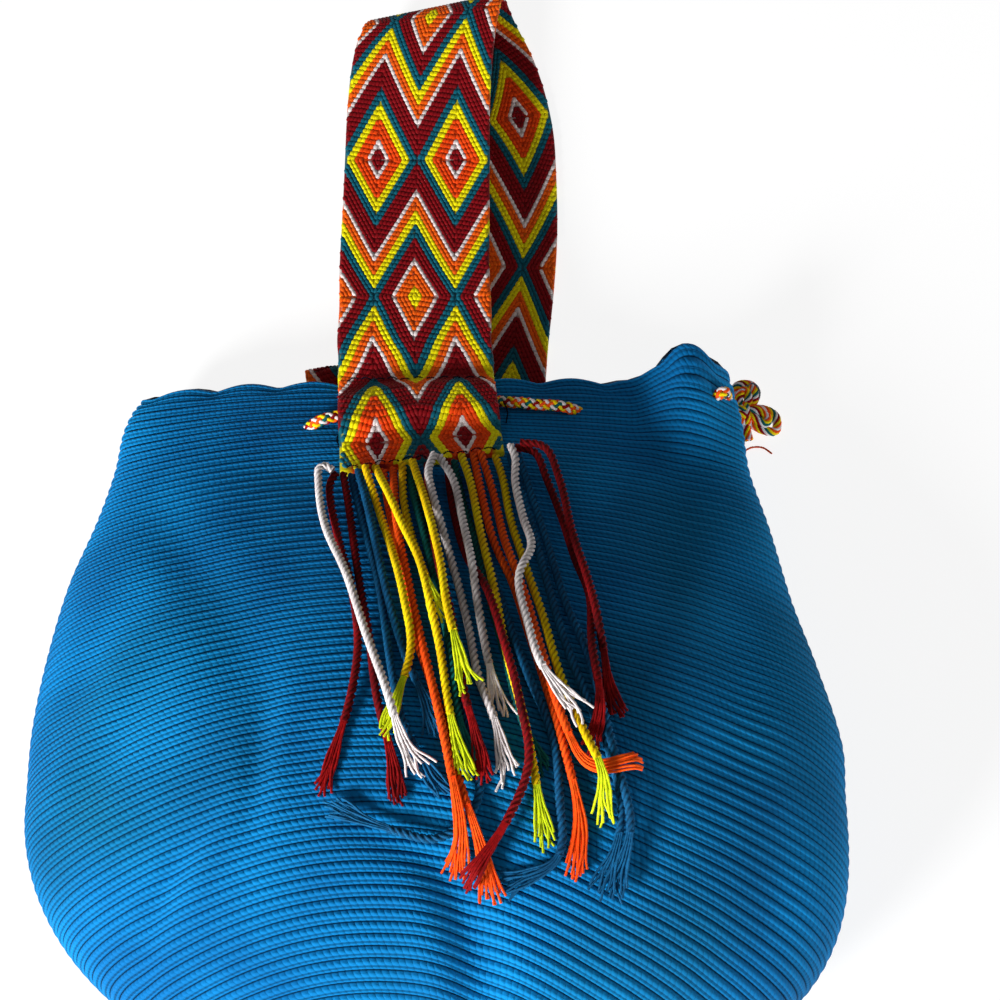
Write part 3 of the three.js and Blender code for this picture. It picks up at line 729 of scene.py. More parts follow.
def waves(x, y, seed, size):
    # smooth wandering between -1 and 1, from a few crossed sines
    chance = random.Random(seed)
    total = np.zeros(np.broadcast(x, y).shape)
    for _ in range(6):
        angle = chance.uniform(0, math.pi)
        length = size * chance.uniform(0.7, 1.8)
        total += np.sin(2 * math.pi * (x * math.cos(angle) + y * math.sin(angle)) / length + chance.uniform(0, 6.28))
    return total / 3.2


def roundRows(inset, columns, ringCount):
    # rings of points from the mouth to the base, evenly spaced along the skin and round it
    t = np.linspace(0, 1, 420)
    tip = inset * 0.5
    ys = tip + (bag["rimY"] - tip) * (1 - t) ** 2
    angles = np.linspace(0, 2 * math.pi, 481)[:-1]
    grid = skinPoints(ys[:, None], angles[None, :], inset)
    steps = np.linalg.norm(np.diff(grid, axis=0), axis=2)
    lengths = np.concatenate([np.zeros((1, len(angles))), np.cumsum(steps, axis=0)])
    rings = np.zeros((ringCount, len(angles), 3))
    shares = np.arange(ringCount) / ringCount
    around = angles * 160
    for j in range(len(angles)):
        marks = shares * lengths[-1, j]
        inside = np.clip(marks / 25, 0, 1) * np.clip((lengths[-1, j] - marks) / 60, 0, 1)
        marks = marks + crochet["waviness"] * inside * waves(np.full_like(marks, around[j]), marks, 3, 120)
        for axis in range(3):
            rings[:, j, axis] = np.interp(marks, lengths[:, j], grid[:, j, axis])
    even = np.zeros((ringCount, columns, 3))
    girths = np.zeros(ringCount)
    for i in range(ringCount):
        closed = np.vstack([rings[i], rings[i][:1]])
        lengthsRound = lengthsOf(closed)
        girths[i] = lengthsRound[-1]
        marks = np.arange(columns) / columns * lengthsRound[-1]
        for axis in range(3):
            even[i, :, axis] = np.interp(marks, lengthsRound, closed[:, axis])
    return even, girths


def scallop(rings, columns):
    # the mouth's edge rises and falls with its shell edging, and leans with the bag
    edge = rings[0]
    share = np.arange(columns) / columns
    wave = np.abs(np.cos(math.pi * share * bag["scallopCount"]))
    rise = bag["scallopHeight"] * (wave - 1) + 0.015 * edge[:, 0]
    rise += bag["cornerLean"] * cornerFold(edge[:, 0], bag["rimY"])
    for i in range(12):
        rings[i, :, 1] += rise * ease(1 - i / 12)


def outwardNormals(rings):
    # the skin falls away from the mouth to the base, and columns run from right over the top to the left
    downward = np.gradient(rings, axis=0)
    around = (np.roll(rings, -1, axis=1) - np.roll(rings, 1, axis=1)) / 2
    normals = np.cross(downward, around)
    normals /= np.maximum(np.linalg.norm(normals, axis=2)[..., None], 1e-9)
    facesUp = np.mean(normals[len(rings) // 2, :rings.shape[1] // 2, 2]) >= 0
    return normals if facesUp else -normals


def makeBag():
    perRow = crochet["ringsPerRow"]
    ringCount = crochet["rows"] * perRow
    columns = crochet["columns"]
    outer, girths = roundRows(0.0, columns, ringCount)
    scallop(outer, columns)
    normals = outwardNormals(outer)
    profile = np.array(crochet["grooveDepth"])[np.arange(ringCount) % perRow]
    fade = np.clip(np.arange(ringCount)[::-1] / 20, 0.3, 1)
    depth = (profile * fade)[:, None] * (0.85 + 0.3 * waves(outer[..., 0], outer[..., 1], 11, 70))
    outer -= normals * depth[..., None]
    upper = np.clip(normals[..., 2] * 1.6, 0, 1)
    outer[..., 2] -= dentDepth(outer[..., 0], outer[..., 1]) * upper
    outer[..., 2] = np.maximum(outer[..., 2], 0.0)

    innerColumns = columns // 2
    innerRings = crochet["rows"] * 2
    inner, _ = roundRows(bag["wall"], innerColumns, innerRings)
    scallop(inner, innerColumns)
    innerNormals = outwardNormals(inner)
    innerDepth = np.where(np.arange(innerRings) % 2 == 0, -0.5, 0.1)[:, None]
    inner -= innerNormals * innerDepth[..., None]
    inner[..., 2] -= dentDepth(inner[..., 0], inner[..., 1]) * np.clip(innerNormals[..., 2] * 1.6, 0, 1)

    vertices = [outer.reshape(-1, 3), inner.reshape(-1, 3)]
    outerTip = len(outer) * columns + len(inner) * innerColumns
    vertices.append(np.array([[bag["ridgeX"], 0.3, float(along(sideLine, 0))],
                              [bag["ridgeX"], bag["wall"], float(along(sideLine, 0))]]))
    vertices = place(np.vstack(vertices))
    faces = []
    coordinates = []            # one (stitch, row) pair per face corner
    stitches = np.maximum(np.round(girths / crochet["stitchWidth"]), 8)
    for i in range(ringCount - 1):
        row = i // perRow
        count = stitches[min(row * perRow + 2, ringCount - 1)]
        low, high = i * columns, (i + 1) * columns
        for j in range(columns):
            k = (j + 1) % columns
            faces.append((low + j, low + k, high + k, high + j))
            u0, u1 = j / columns * count + row * 0.37, (j + 1) / columns * count + row * 0.37
            v0, v1 = i / perRow, (i + 1) / perRow
            coordinates += [(u0, v0), (u1, v0), (u1, v1), (u0, v1)]
    last = (ringCount - 1) * columns
    for j in range(columns):
        faces.append((last + j, last + (j + 1) % columns, outerTip))
        coordinates += [(j / 9, ringCount / perRow), ((j + 1) / 9, ringCount / perRow), (j / 9, ringCount / perRow)]
    start = ringCount * columns
    for j in range(innerColumns):
        k = (j + 1) % innerColumns
        a, b, c = 2 * j, 2 * j + 1, (2 * j + 2) % columns
        faces += [(start + j, start + k, b), (start + j, b, a), (start + k, c, b)]
        coordinates += [(0, 0)] * 9
    innerStitches = 400
    for i in range(innerRings - 1):
        low, high = start + i * innerColumns, start + (i + 1) * innerColumns
        for j in range(innerColumns):
            k = (j + 1) % innerColumns
            faces.append((low + k, low + j, high + j, high + k))
            u0, u1 = j / innerColumns * innerStitches, (j + 1) / innerColumns * innerStitches
            v0, v1 = i / 2, (i + 1) / 2
            coordinates += [(u1, v0), (u0, v0), (u0, v1), (u1, v1)]
    last = start + (innerRings - 1) * innerColumns
    for j in range(innerColumns):
        faces.append((last + (j + 1) % innerColumns, last + j, outerTip + 1))
        coordinates += [(0, 0)] * 3
    body = meshObject("bag_crocheted", vertices, faces)
    layer = body.data.uv_layers.new(name="stitches")
    layer.data.foreach_set("uv", np.array(coordinates, dtype=np.float32).ravel())
    if body.data.polygons[ringCount // 2 * columns + columns // 4].normal.z < 0:
        body.data.flip_normals()
    body.data.materials.append(crochetMaterial())
    settle(body, ["bag_body"])


def crochetMaterial():
    # Single crochet in mercerised cotton: plump rows, fine slanted stitches, painted shade in the grooves between the
    # rows and between the plies
    material, tree = newMaterial("blue crocheted cotton")
    stitchUv = addNode(tree, "ShaderNodeUVMap", uv_map="stitches")
    parts = addNode(tree, "ShaderNodeSeparateXYZ", {0: stitchUv}).outputs
    inRow = addNode(tree, "ShaderNodeMath", {0: parts["Y"]}, operation="FRACT")
    # each row has a plump crest and a lower thin loop
    crests = []
    for start, end, size in ((0.0, 0.7, 1.0), (0.7, 1.0, 0.75)):
        part = addNode(tree, "ShaderNodeMapRange", {"Value": inRow, "From Min": start, "From Max": end,
                                                    "To Min": 0.0, "To Max": math.pi})
        wave = addNode(tree, "ShaderNodeMath", {0: part}, operation="SINE")
        crests.append(addNode(tree, "ShaderNodeMath", {0: wave, 1: size}, operation="MULTIPLY"))
    crest = addNode(tree, "ShaderNodeMath", {0: crests[0], 1: crests[1]}, operation="MAXIMUM")
    crest = addNode(tree, "ShaderNodeMath", {0: crest, 1: 0.001}, operation="MAXIMUM")
    crest = addNode(tree, "ShaderNodeMath", {0: crest, 1: 0.55}, operation="POWER")
    # the line between a row and its thin loop is shallow
    fromLoop = addNode(tree, "ShaderNodeMath", {0: inRow, 1: 0.7}, operation="SUBTRACT")
    fromLoop = addNode(tree, "ShaderNodeMath", {0: fromLoop}, operation="ABSOLUTE")
    nearLoop = addNode(tree, "ShaderNodeMapRange", {"Value": fromLoop, "From Min": 0.0, "From Max": 0.14,
                                                    "To Min": 0.62, "To Max": 0.0})
    crest = addNode(tree, "ShaderNodeMath", {0: crest, 1: nearLoop}, operation="MAXIMUM")
    lean = addNode(tree, "ShaderNodeMath", {0: inRow, 1: 0.9}, operation="MULTIPLY")
    slant = addNode(tree, "ShaderNodeMath", {0: parts["X"], 1: lean}, operation="ADD")
    turn = addNode(tree, "ShaderNodeMath", {0: slant, 1: math.pi}, operation="MULTIPLY")
    plies = addNode(tree, "ShaderNodeMath", {0: turn}, operation="SINE")
    plies = addNode(tree, "ShaderNodeMath", {0: plies}, operation="ABSOLUTE")
    plies = addNode(tree, "ShaderNodeMath", {0: plies, 1: 0.7}, operation="POWER")
    objectPlace = addNode(tree, "ShaderNodeTexCoord").outputs["Object"]
    fibre = addNode(tree, "ShaderNodeTexNoise", {"Vector": objectPlace, "Scale": 800.0, "Detail": 3.0})
    patches = addNode(tree, "ShaderNodeTexNoise", {"Vector": objectPlace, "Scale": 14.0, "Detail": 3.0})
    tints = addNode(tree, "ShaderNodeTexNoise", {"Vector": objectPlace, "Scale": 9.0, "Detail": 2.0})
    onCrest = addNode(tree, "ShaderNodeMath", {0: plies, 1: crest}, operation="MULTIPLY")
    relief = addNode(tree, "ShaderNodeMath", {0: onCrest, 1: 0.35, 2: crest}, operation="MULTIPLY_ADD")
    height = addNode(tree, "ShaderNodeMath", {0: fibre, 1: 0.3, 2: relief}, operation="MULTIPLY_ADD")
    bump = addNode(tree, "ShaderNodeBump", {"Height": height, "Strength": 0.8, "Distance": 0.0009})
    # painted shade: low between the plies and in the grooves between rows, where the colour goes to the painted shade
    # colour
    lit = addNode(tree, "ShaderNodeMath", {0: plies, 1: 0.3, 2: 0.7}, operation="MULTIPLY_ADD")
    body = addNode(tree, "ShaderNodeMath", {0: crest, 1: lit}, operation="MULTIPLY")
    spread = addNode(tree, "ShaderNodeMapRange", {"Value": body, "From Min": 0.2, "From Max": 0.7})
    worn = addNode(tree, "ShaderNodeMapRange", {"Value": patches, "From Min": 0.35, "From Max": 0.7})
    greened = addNode(tree, "ShaderNodeMapRange", {"Value": tints, "From Min": 0.48, "From Max": 0.75,
                                                   "To Max": 0.7})
    base = addNode(tree, "ShaderNodeMix", {0: worn, 6: linearColour(crochet["colour"]),
                                           7: linearColour(crochet["paleColour"])}, data_type="RGBA")
    tinted = addNode(tree, "ShaderNodeMix", {0: greened, 6: base.outputs[2],
                                             7: linearColour(crochet["greenColour"])}, data_type="RGBA")
    tone = addNode(tree, "ShaderNodeMix", {0: spread, 6: linearColour(crochet["paintedShadeColour"]),
                                           7: tinted.outputs[2]}, data_type="RGBA")
    shader = addNode(tree, "ShaderNodeBsdfPrincipled", {"Base Color": tone.outputs[2], "Normal": bump})
    shader.inputs["Roughness"].default_value = 0.8
    shader.inputs["Specular IOR Level"].default_value = 0.08
    shader.inputs["IOR"].default_value = 1.5
    addNode(tree, "ShaderNodeOutputMaterial", {"Surface": shader})
    return material


makeBag()
print("bag made")

strap = {
    "alongStep": 2.0,               # mm between sections of the plain band under the stitches
    "acrossCount": 26,
    "bandThickness": 2.5,           # mm, the stitches stand on this
    "diamondColumn": 18.25,         # mm from the middle of the strap to a column of diamonds
    "halfRepeat": 82.0,             # mm from a diamond to the medallion above it
    "slope": 0.49,                  # how much a zigzag rises across one column, in half repeats
    "levelHeight": 0.05,            # one line of stitches, in half repeats
    "stitchLength": 3.8,            # mm
    "stitchWidth": 2.5,
    "stitchHeight": 1.4,
    "seed": 21,
}
# bands of the zigzag pattern from the middle of a diamond to the middle of a medallion
zigzagBands = [
    (0.08, "maroon"), (0.13, "white"), (0.28, "flame"), (0.41, "yellow"), (0.50, "teal"), (0.70, "maroon"),
    (0.75, "white"), (0.85, "orange"), (0.95, "yellow"), (1.05, "teal"), (1.20, "maroon"), (1.25, "white"),
    (1.40, "orange"), (9.0, "yellow"),
]
weaveColours = {
    "white": "#F4E8E6", "maroon": "#8A0612", "flame": "#FA4C08", "orange": "#FF660E", "yellow": "#FFF006",
    "teal": "#0A6478",
}
# y of the pattern's first rows on the sewn leg
rowMarks = [263.0, 347.0, 426.0, 513.0]

frontLayer = 1.6
secondLayer = frontLayer + strapSize["thickness"] + strapSize["gap"]
thirdLayer = secondLayer + strapSize["thickness"] + strapSize["gap"]


def strapSeat(x, y):
    # the strap's underside on the bag, lifted where the drawcord passes
    cordY = 286 - 0.0035 * (x - 10) ** 2
    hump = (cordDiameter + 0.9) * (1 - ease((np.abs(y - cordY) - 6) / 11))
    return upperSkin(x, y) + 0.5 + hump


def hairpin(x, y, low, high, direction, turn):
    # half turn between two layers at a fold
    radius = (high - low) / 2
    return [(x, y + direction * radius * math.sin(math.pi * k / 6), low + radius * (1 - math.cos(math.pi * k / 6)),
             turn) for k in range(7)]


# centre line of the band: x, y, z and the turn of its width in degrees; z = 0 follows the bag's skin
strapLine = [(-7 - (y - 260) / 11, y, 0, 0) for y in range(250, 305, 4)] + [
    (-11, 312, 38, 0), (-12, 322, 36, 0), (-12, 340, 33, 0), (-13, 365, 29, 0), (-13, 395, 26, 0), (-13, 425, 24, 0),
    (-13, 455, 23, 1), (-12, 480, 22.5, 3), (-10, 500, 22, 7), (-7, 515, 20, 12), (-5, 522, 15.5, 15),
    (-4, 523, 11, 17), (-2, 520, 6, 20), (2, 511, 2.8, 23), (9, 495, frontLayer, 20), (14, 478, frontLayer, 13),
    (18, 455, frontLayer, 7), (19, 430, frontLayer, 2), (19, 400, frontLayer, -2), (17, 370, frontLayer, -3),
    (14, 340, frontLayer, -4), (12, 310, frontLayer, -4), (10, 280, frontLayer, -3), (8, 250, frontLayer, -3),
    (6, 220, frontLayer, -2), (5, 190, frontLayer, -1), (3, 165, frontLayer, 0), (2, 148, frontLayer, 1),
    *hairpin(1.5, 140, frontLayer, secondLayer, -1, 4),
    (0, 150, secondLayer, 6), (-4, 175, secondLayer, 8), (-8, 200, secondLayer, 9), (-13, 230, secondLayer, 9),
    (-18, 260, secondLayer, 9), (-23, 290, secondLayer, 9), (-27, 315, secondLayer, 9),
    *hairpin(-29, 326, secondLayer, thirdLayer, 1, 9),
    (-27, 316, thirdLayer, 8), (-24, 300, thirdLayer, 8), (-21, 282, thirdLayer, 8), (-18, 264, thirdLayer, 8),
]


slantedRows = 10                        # the sewn end is cut at a slant, which fades over the first rows


def strapSurface():
    # middle surface of the band, one section per mm, nine points across
    half = strapSize["thickness"] / 2
    sewn = sum(1 for row in strapLine if row[2] == 0)
    sections = []
    for i, (x, y, z, turn) in enumerate(strapLine):
        side = np.array([math.cos(math.radians(turn)), math.sin(math.radians(turn)), 0.0])
        height = float(strapSeat(x, y)) + half if z == 0 else z
        section = np.array([x, y, height]) + side * np.linspace(-34, 34, 9)[:, None]
        if z == 0:
            if i < slantedRows:
                slant = sewnEnd(section[:, 0]) - strapLine[0][1]
                section[:, 1] += slant * (1 - i / slantedRows)
            section[:, 2] = strapSeat(section[:, 0], section[:, 1]) + half
        elif i < sewn + 4:
            seat = strapSeat(section[:, 0], np.minimum(section[:, 1], bag["rimY"])) + half
            blend = ease((section[:, 1] - bag["rimY"]) / 30)
            section[:, 2] = seat * (1 - blend) + z * blend
        sections.append(section)
    sections = np.array(sections)
    fine = np.stack([catmull(sections[:, j], 6) for j in range(9)], axis=1)
    lengths = lengthsOf(fine[:, 4])
    marks = np.arange(0, lengths[-1], 1.0)
    surface = np.zeros((len(marks), 9, 3))
    for j in range(9):
        for axis in range(3):
            surface[:, j, axis] = np.interp(marks, lengths, fine[:, j, axis])
    return surface


def bandPoints(surface, s, a):
    # point, outward normal and the two directions in the band at lengths s and offsets a
    i = np.clip(s, 0, len(surface) - 1.001)
    j = np.clip((a + 34) / 8.5, 0, 7.999)
    i0, j0 = i.astype(int), j.astype(int)
    fi, fj = (i - i0)[:, None], (j - j0)[:, None]
    p00, p10 = surface[i0, j0], surface[i0 + 1, j0]
    p01, p11 = surface[i0, j0 + 1], surface[i0 + 1, j0 + 1]
    point = (p00 * (1 - fi) + p10 * fi) * (1 - fj) + (p01 * (1 - fi) + p11 * fi) * fj
    before, after = np.clip(i0 - 1, 0, None), np.clip(i0 + 2, None, len(surface) - 1)
    ahead = (surface[after, j0] - surface[before, j0]) * (1 - fj) + (surface[after, j0 + 1]
                                                                     - surface[before, j0 + 1]) * fj
    ahead /= np.linalg.norm(ahead, axis=1)[:, None]
    side = (p01 - p00) * (1 - fi) + (p11 - p10) * fi
    side /= np.linalg.norm(side, axis=1)[:, None]
    normal = np.cross(side, ahead)
    normal /= np.linalg.norm(normal, axis=1)[:, None]
    return point, normal, ahead, side


def rowLengths(surface):
    # lengths along the band of the pattern's rows
    centre = surface[:, 4]
    top = int(np.argmax(centre[:, 1]))
    return np.array([float(np.interp(y, centre[:top, 1], np.arange(top))) for y in rowMarks])


def patternLevel(s, a, marks):
    # where a point lies in the zigzag: 0 in the middle of a diamond, and how far it is across and along
    numbers = np.arange(len(marks))
    row = np.where(s <= marks[-1], np.interp(s, marks, numbers), numbers[-1] + (s - marks[-1]) / strap["halfRepeat"])
    along_ = np.abs((row + 1) % 2 - 1)
    across = np.abs(np.abs(a) - strap["diamondColumn"]) / strap["diamondColumn"]
    return along_ + strap["slope"] * across


def bandColour(level):
    for limit, colour in zigzagBands:
        if level < limit:
            return colour
    return zigzagBands[-1][1]


def lengthOfRow(number, marks):
    last = len(marks) - 1
    if number <= last:
        return float(np.interp(number, np.arange(last + 1), marks)) if number >= 0 else number * strap["halfRepeat"]
    return marks[-1] + (number - last) * strap["halfRepeat"]


def stitchPlaces(marks, low, high):
    # stitches lie in lines along the zigzags: length, offset, direction in the band and level
    column = strap["diamondColumn"]
    fullRun = math.hypot(column, strap["slope"] * strap["halfRepeat"])
    perColumn = round(fullRun / 2.72)
    places = []
    lastRow = len(marks) + int((high - marks[-1]) / strap["halfRepeat"]) + 2
    levels = int((1 + strap["slope"]) / strap["levelHeight"])
    for diamondRow in range(-2, lastRow + 2, 2):
        centre = lengthOfRow(diamondRow, marks)
        for way in (-1, 1):
            reach = abs(lengthOfRow(diamondRow + way, marks) - centre)
            for level in range(levels + 1):
                value = (level + 0.5) * strap["levelHeight"]
                for m in range(perColumn):
                    u = (m + 0.5 + 0.25 * (1 if level % 2 else -1)) / perColumn
                    v = value - strap["slope"] * u
                    if not 0 <= v <= 1 or not 0 <= u <= 1:
                        continue
                    s = centre + way * v * reach
                    if not low <= s <= high:
                        continue
                    for columnSide in (-1, 1):
                        for out in (-1, 1):
                            a = columnSide * column + out * u * column
                            if abs(a) > 33.2:
                                continue
                            places.append((s, a, out * column, -way * strap["slope"] * reach, value))
    return places


def makeStitches(name, surface, marks, ranges, seed):
    # one vertex per stitch with its turn and its colour; the tree puts a plump stitch on each
    chance = random.Random(seed)
    spots, turns, dyes = [], [], []
    for low, high, face in ranges:
        rows = np.array(stitchPlaces(marks, low, high))
        point, normal, ahead, side = bandPoints(surface, rows[:, 0], rows[:, 1])
        normal = normal * face
        direction = side * rows[:, 2:3] + ahead * rows[:, 3:4]
        direction /= np.linalg.norm(direction, axis=1)[:, None]
        level = rows[:, 4]
        centre = point + normal * (strap["bandThickness"] / 2 - 0.05)
        for k in range(len(rows)):
            across = np.cross(normal[k], direction[k])
            sway = chance.uniform(-0.12, 0.12)
            along_ = direction[k] * math.cos(sway) + across * math.sin(sway)
            across = np.cross(normal[k], along_)
            turn = Matrix((across, normal[k], along_)).transposed().to_euler()
            spots.append(centre[k] + along_ * chance.uniform(-0.15, 0.15))
            turns.append(tuple(turn))
            shade = chance.uniform(0.86, 1.08)
            colour = linearColour(weaveColours[bandColour(level[k])])
            dyes.append([min(c * shade, 1.0) for c in colour[:3]] + [1.0])
    mesh = bpy.data.meshes.new(name)
    mesh.from_pydata([tuple(p) for p in place(np.array(spots))], [], [])
    turnLayer = mesh.attributes.new("turn", "FLOAT_VECTOR", "POINT")
    turnLayer.data.foreach_set("vector", np.array(turns, dtype=np.float32).ravel())
    dyeLayer = mesh.attributes.new("dye", "FLOAT_COLOR", "POINT")
    dyeLayer.data.foreach_set("color", np.array(dyes, dtype=np.float32).ravel())
    source = bpy.data.objects.new(name, mesh)
    scene.collection.objects.link(source)
    return runTree(source, stitchTree, name, **{
        "Length": strap["stitchLength"] * mm,
        "Width": strap["stitchWidth"] * mm,
        "Height": strap["stitchHeight"] * mm,
        "Material": weaveMaterial,
    })


def wovenStitchTree():
    # puts a plump stitch on each point of a mesh, turned by the point's own attribute
    tree, given = newTree("woven stitches", [
        ("Points", "Geometry", None), ("Length", "Float", 0.003), ("Width", "Float", 0.002),
        ("Height", "Float", 0.0015), ("Material", "Material", None)])
    grain = addNode(tree, "GeometryNodeMeshUVSphere", {"Segments": 5, "Rings": 4, "Radius": 0.5})
    size = addNode(tree, "ShaderNodeCombineXYZ", {0: given["Width"], 1: given["Height"], 2: given["Length"]})
    shaped = addNode(tree, "GeometryNodeTransform", {"Geometry": grain, "Scale": size})
    turn = addNode(tree, "GeometryNodeInputNamedAttribute", {"Name": "turn"}, data_type="FLOAT_VECTOR")
    rotation = addNode(tree, "FunctionNodeEulerToRotation", {0: turn})
    placed = addNode(tree, "GeometryNodeInstanceOnPoints", {"Points": given["Points"], "Instance": shaped,
                                                            "Rotation": rotation})
    finishTree(tree, placed, given["Material"])
    return tree


def wovenYarn(name, brightness):
    # Hand-woven mercerised cotton: saturated dyes, a soft sheen on each plump stitch
    material, tree = newMaterial(name)
    dye = addNode(tree, "ShaderNodeAttribute", attribute_name="dye")
    objectPlace = addNode(tree, "ShaderNodeTexCoord").outputs["Object"]
    fibre = addNode(tree, "ShaderNodeTexNoise", {"Vector": objectPlace, "Scale": 1100.0, "Detail": 3.0})
    spread = addNode(tree, "ShaderNodeMapRange", {"Value": fibre, "From Min": 0.3, "From Max": 0.6,
                                                  "To Min": 0.72, "To Max": 1.0})
    # a brightness below 1 is painted shade, for the band that shows between the stitches
    strength = addNode(tree, "ShaderNodeMath", {0: spread, 1: brightness}, operation="MULTIPLY")
    tint = addNode(tree, "ShaderNodeVectorMath", {0: dye.outputs["Color"], "Scale": strength}, operation="SCALE")
    bump = addNode(tree, "ShaderNodeBump", {"Height": fibre, "Strength": 0.4, "Distance": 0.0004})
    shader = addNode(tree, "ShaderNodeBsdfPrincipled", {"Base Color": tint, "Normal": bump})
    shader.inputs["Roughness"].default_value = 0.7
    shader.inputs["Specular IOR Level"].default_value = 0.15
    shader.inputs["IOR"].default_value = 1.5
    addNode(tree, "ShaderNodeOutputMaterial", {"Surface": shader})
    return material


stitchTree = wovenStitchTree()
weaveMaterial = wovenYarn("woven cotton yarn", 1.0)
# the band's dyes at 0.7: painted shade between the stitches
shadedGroundMaterial = wovenYarn("woven cotton ground in painted shade", 0.7)


def makeBand(surface, marks):
    # the plain band between the stitches, in painted shade, closed round its edges
    half = strap["bandThickness"] / 2
    count = strap["acrossCount"]
    s = np.arange(0, len(surface) - 1, strap["alongStep"])
    outer = np.linspace(-33.4, 33.4, count + 1)
    offsets = np.concatenate([outer, [34.0], outer[::-1], [-34.0]])
    lifts = np.concatenate([np.full(count + 1, -half), [0.0], np.full(count + 1, half), [0.0]])
    vertices, dyes = [], []
    for value in s:
        point, normal, _, _ = bandPoints(surface, np.full(len(offsets), value), offsets)
        vertices.append(point + normal * lifts[:, None])
        for level in patternLevel(np.full(len(offsets), value), offsets, marks):
            dyes.append(linearColour(weaveColours[bandColour(level)]))
    ring = len(offsets)
    faces = []
    for i in range(len(s) - 1):
        for j in range(ring):
            k = (j + 1) % ring
            faces.append((i * ring + j, i * ring + k, (i + 1) * ring + k, (i + 1) * ring + j))
    for start, flip in ((0, True), ((len(s) - 1) * ring, False)):
        strip = [(start + j, start + j + 1, start + 2 * count + 1 - j, start + 2 * count + 2 - j)
                 for j in range(count)]
        strip += [(start + count, start + count + 1, start + count + 2), (start, start + ring - 2, start + ring - 1)]
        faces += [face[::-1] if flip else face for face in strip]
    band = meshObject("strap_band", place(np.vstack(vertices)), faces)
    layer = band.data.attributes.new("dye", "FLOAT_COLOR", "POINT")
    layer.data.foreach_set("color", np.array(dyes, dtype=np.float32).ravel())
    band.data.materials.append(shadedGroundMaterial)
    return band


def recalculated(piece):
    # faces point outwards
    work = bmesh.new()
    work.from_mesh(piece.data)
    bmesh.ops.recalc_face_normals(work, faces=work.faces)
    work.to_mesh(piece.data)
    work.free()


def makeStrap():
    surface = strapSurface()
    marks = rowLengths(surface)
    total = len(surface) - 1
    band = makeBand(surface, marks)
    recalculated(band)
    settle(band, ["strap"])
    front = makeStitches("strap_front_stitches", surface, marks, [(1.5, 292, 1)], strap["seed"])
    back = makeStitches("strap_back_stitches", surface, marks, [(268, 500, -1), (total - 72, total - 2, -1)],
                        strap["seed"] + 1)
    for piece in (front, back):
        settle(piece, [])


makeStrap()
print("strap made")

seam = {"dash": 4.6, "gap": 1.0, "diameter": 0.95, "step": 0.9, "rise": 1.9}
seamTwist = {"Groove": 0.2, "Plies": 2.0, "Twist Length": 1.8 * mm}
seamLines = {
    "seam_thread_upper": (-40, 20, lambda x: 300 + 0.5 * np.sin(x * 0.5)),
    "seam_thread_lower": (-37, 24, lambda x: sewnEnd(x) + 3 + 0.5 * np.sin(x * 0.45)),
}
# loose loops of the same thread at the strap's sides
threadLoops = [
    [(-40.6, 271, 0.6), (-42.2, 268, 1.6), (-42.6, 264, 1.8), (-41.2, 260.5, 0.8)],
    [(23.5, 289, 3.8), (27.2, 286, 4.2), (29.0, 281, 2.6), (28.4, 275.5, 0.9)],
]


def makeSeams():
    for name, (fromX, toX, seamY) in seamLines.items():
        lines = []
        x = fromX
        while x < toX:
            xs = np.linspace(x, min(x + seam["dash"], toX), 6)
            ys = seamY(xs)
            top = strapSeat(xs, ys) + strapSize["thickness"] + seam["rise"]
            dip = np.array([2.0, 0.5, 0.0, 0.0, 0.5, 2.0])
            lines.append(place(np.stack([xs, ys, top - dip], axis=1)))
            x += seam["dash"] + seam["gap"]
        if name == "seam_thread_lower":
            for loop in threadLoops:
                lifted = [(x, y, float(upperSkin(x, y)) + z) for x, y, z in loop]
                lines.append(place(catmull(lifted, 8)))
        thread = cordPiece(name + "_stitches", lines, "navy", seam["diameter"], seam["step"], 6, seamTwist)
        settle(thread, [name])


def makeBackFringe():
    # strands of the strap's far end, flat between the strap and the bag
    lines = []
    height = thirdLayer - 0.1
    for k in range(10):
        offset = (k - 4.5) * 6.2
        length = 78 + 9 * math.sin(k * 2.1)
        lines.append(place(catmull([(-17 + offset, 258, height), (-15 + offset, 236, height),
                                    (-11 + offset * 0.95, 212, height), (-7 + offset * 0.9, 256 - length, height)],
                                   10)))
    strands = cordPiece("back_fringe_strands", lines, "teal", tailSize["diameter"], 1.5, 9, strandTwist)
    settle(strands, ["back_fringe"])


makeSeams()
makeBackFringe()
print("seams and back fringe made")

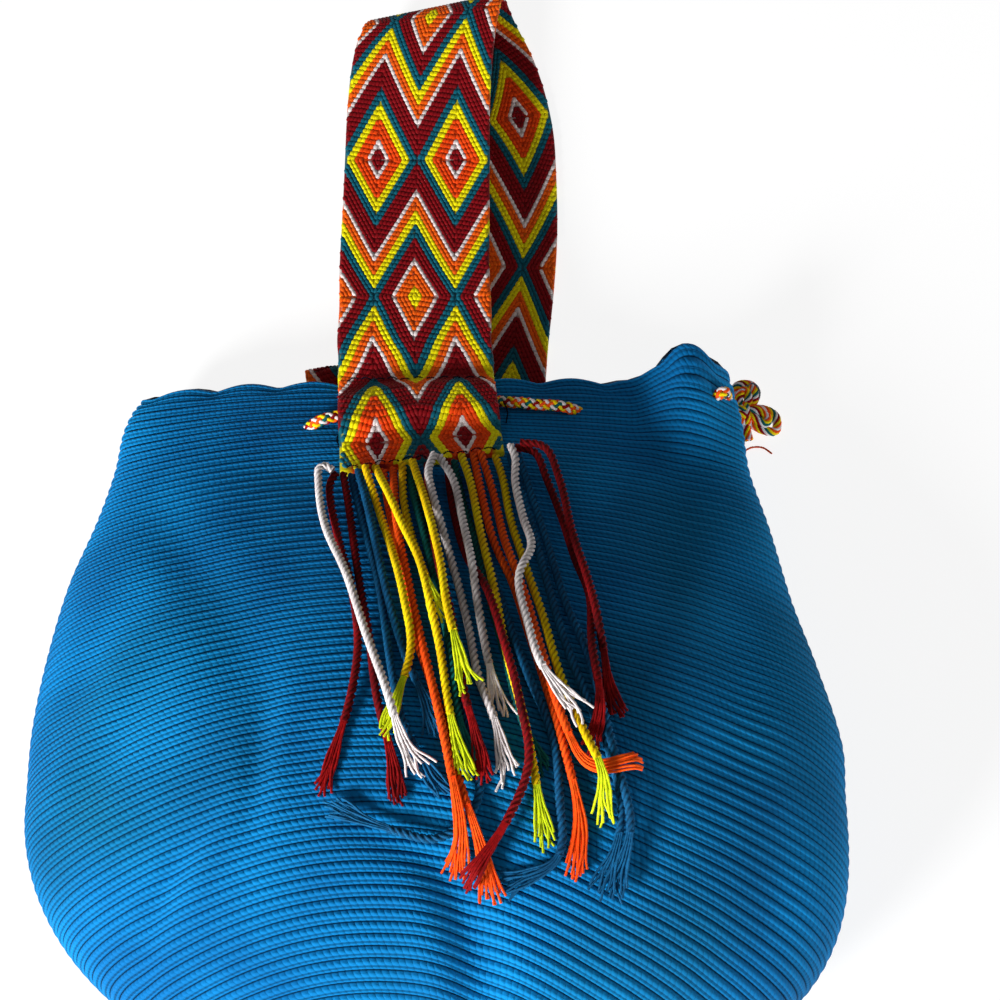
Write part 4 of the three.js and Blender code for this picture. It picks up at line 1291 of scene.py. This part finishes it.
studio = {
    "lamps": [
        # name, place in metres, size in metres, watts
        ("key", (-1.05, -1.25, 0.78), 0.5, 50.0),
        ("side", (1.1, -0.75, 0.16), 0.35, 6.0),
    ],
    "skyStrength": 0.2,
    "floorColour": "#808080",
    "floorGlow": 0.86,
    "drumGlow": 0.9,
    "reach": 3.0,                       # metres from the middle to the floor's sides and the drum
    "floorDrop": 0.0003,
}
white = (1.0, 1.0, 1.0, 1.0)


def makeStage():
    # a pale light table, so that shadows stay soft, inside a pale drum
    reach = studio["reach"]
    corners = ((-1, -1), (1, -1), (1, 1), (-1, 1))
    floor = meshObject("floor", [(reach * x, reach * y, -studio["floorDrop"]) for x, y in corners],
                       [(0, 1, 2, 3)], smooth=False)
    count = 48
    angles = [2 * math.pi * k / count for k in range(count)]
    rim = [(reach * math.cos(angle), reach * math.sin(angle)) for angle in angles]
    drum = meshObject("backdrop", [(x, y, z) for z in (-0.01, reach) for x, y in rim],
                      [(k, count + k, count + (k + 1) % count, (k + 1) % count) for k in range(count)])
    # Matt paper lit from below, and a matt wall that glows
    for piece, colour, glow in ((floor, studio["floorColour"], studio["floorGlow"]),
                                (drum, "#000000", studio["drumGlow"])):
        material, tree = newMaterial("pale " + piece.name)
        shader = addNode(tree, "ShaderNodeBsdfPrincipled")
        shader.inputs["Base Color"].default_value = linearColour(colour)
        shader.inputs["Roughness"].default_value = 1.0
        shader.inputs["Specular IOR Level"].default_value = 0.0
        shader.inputs["Emission Color"].default_value = white
        shader.inputs["Emission Strength"].default_value = glow
        addNode(tree, "ShaderNodeOutputMaterial", {"Surface": shader})
        piece.data.materials.append(material)
    drum.visible_diffuse = False
    drum.visible_glossy = False
    drum.visible_shadow = False
    world = bpy.data.worlds.new("studio")
    scene.world = world
    world.use_nodes = True
    background = world.node_tree.nodes["Background"]
    background.inputs["Color"].default_value = white
    background.inputs["Strength"].default_value = studio["skyStrength"]
    for name, location, size, power in studio["lamps"]:
        data = bpy.data.lights.new(name, "AREA")
        data.shape = "DISK"
        data.size = size
        data.energy = power
        lamp = bpy.data.objects.new(name, data)
        scene.collection.objects.link(lamp)
        lamp.location = location
        lamp.rotation_euler = (-Vector(location)).to_track_quat("-Z", "Y").to_euler()


makeStage()
scene.view_settings.view_transform = "Standard"
print("stage set")
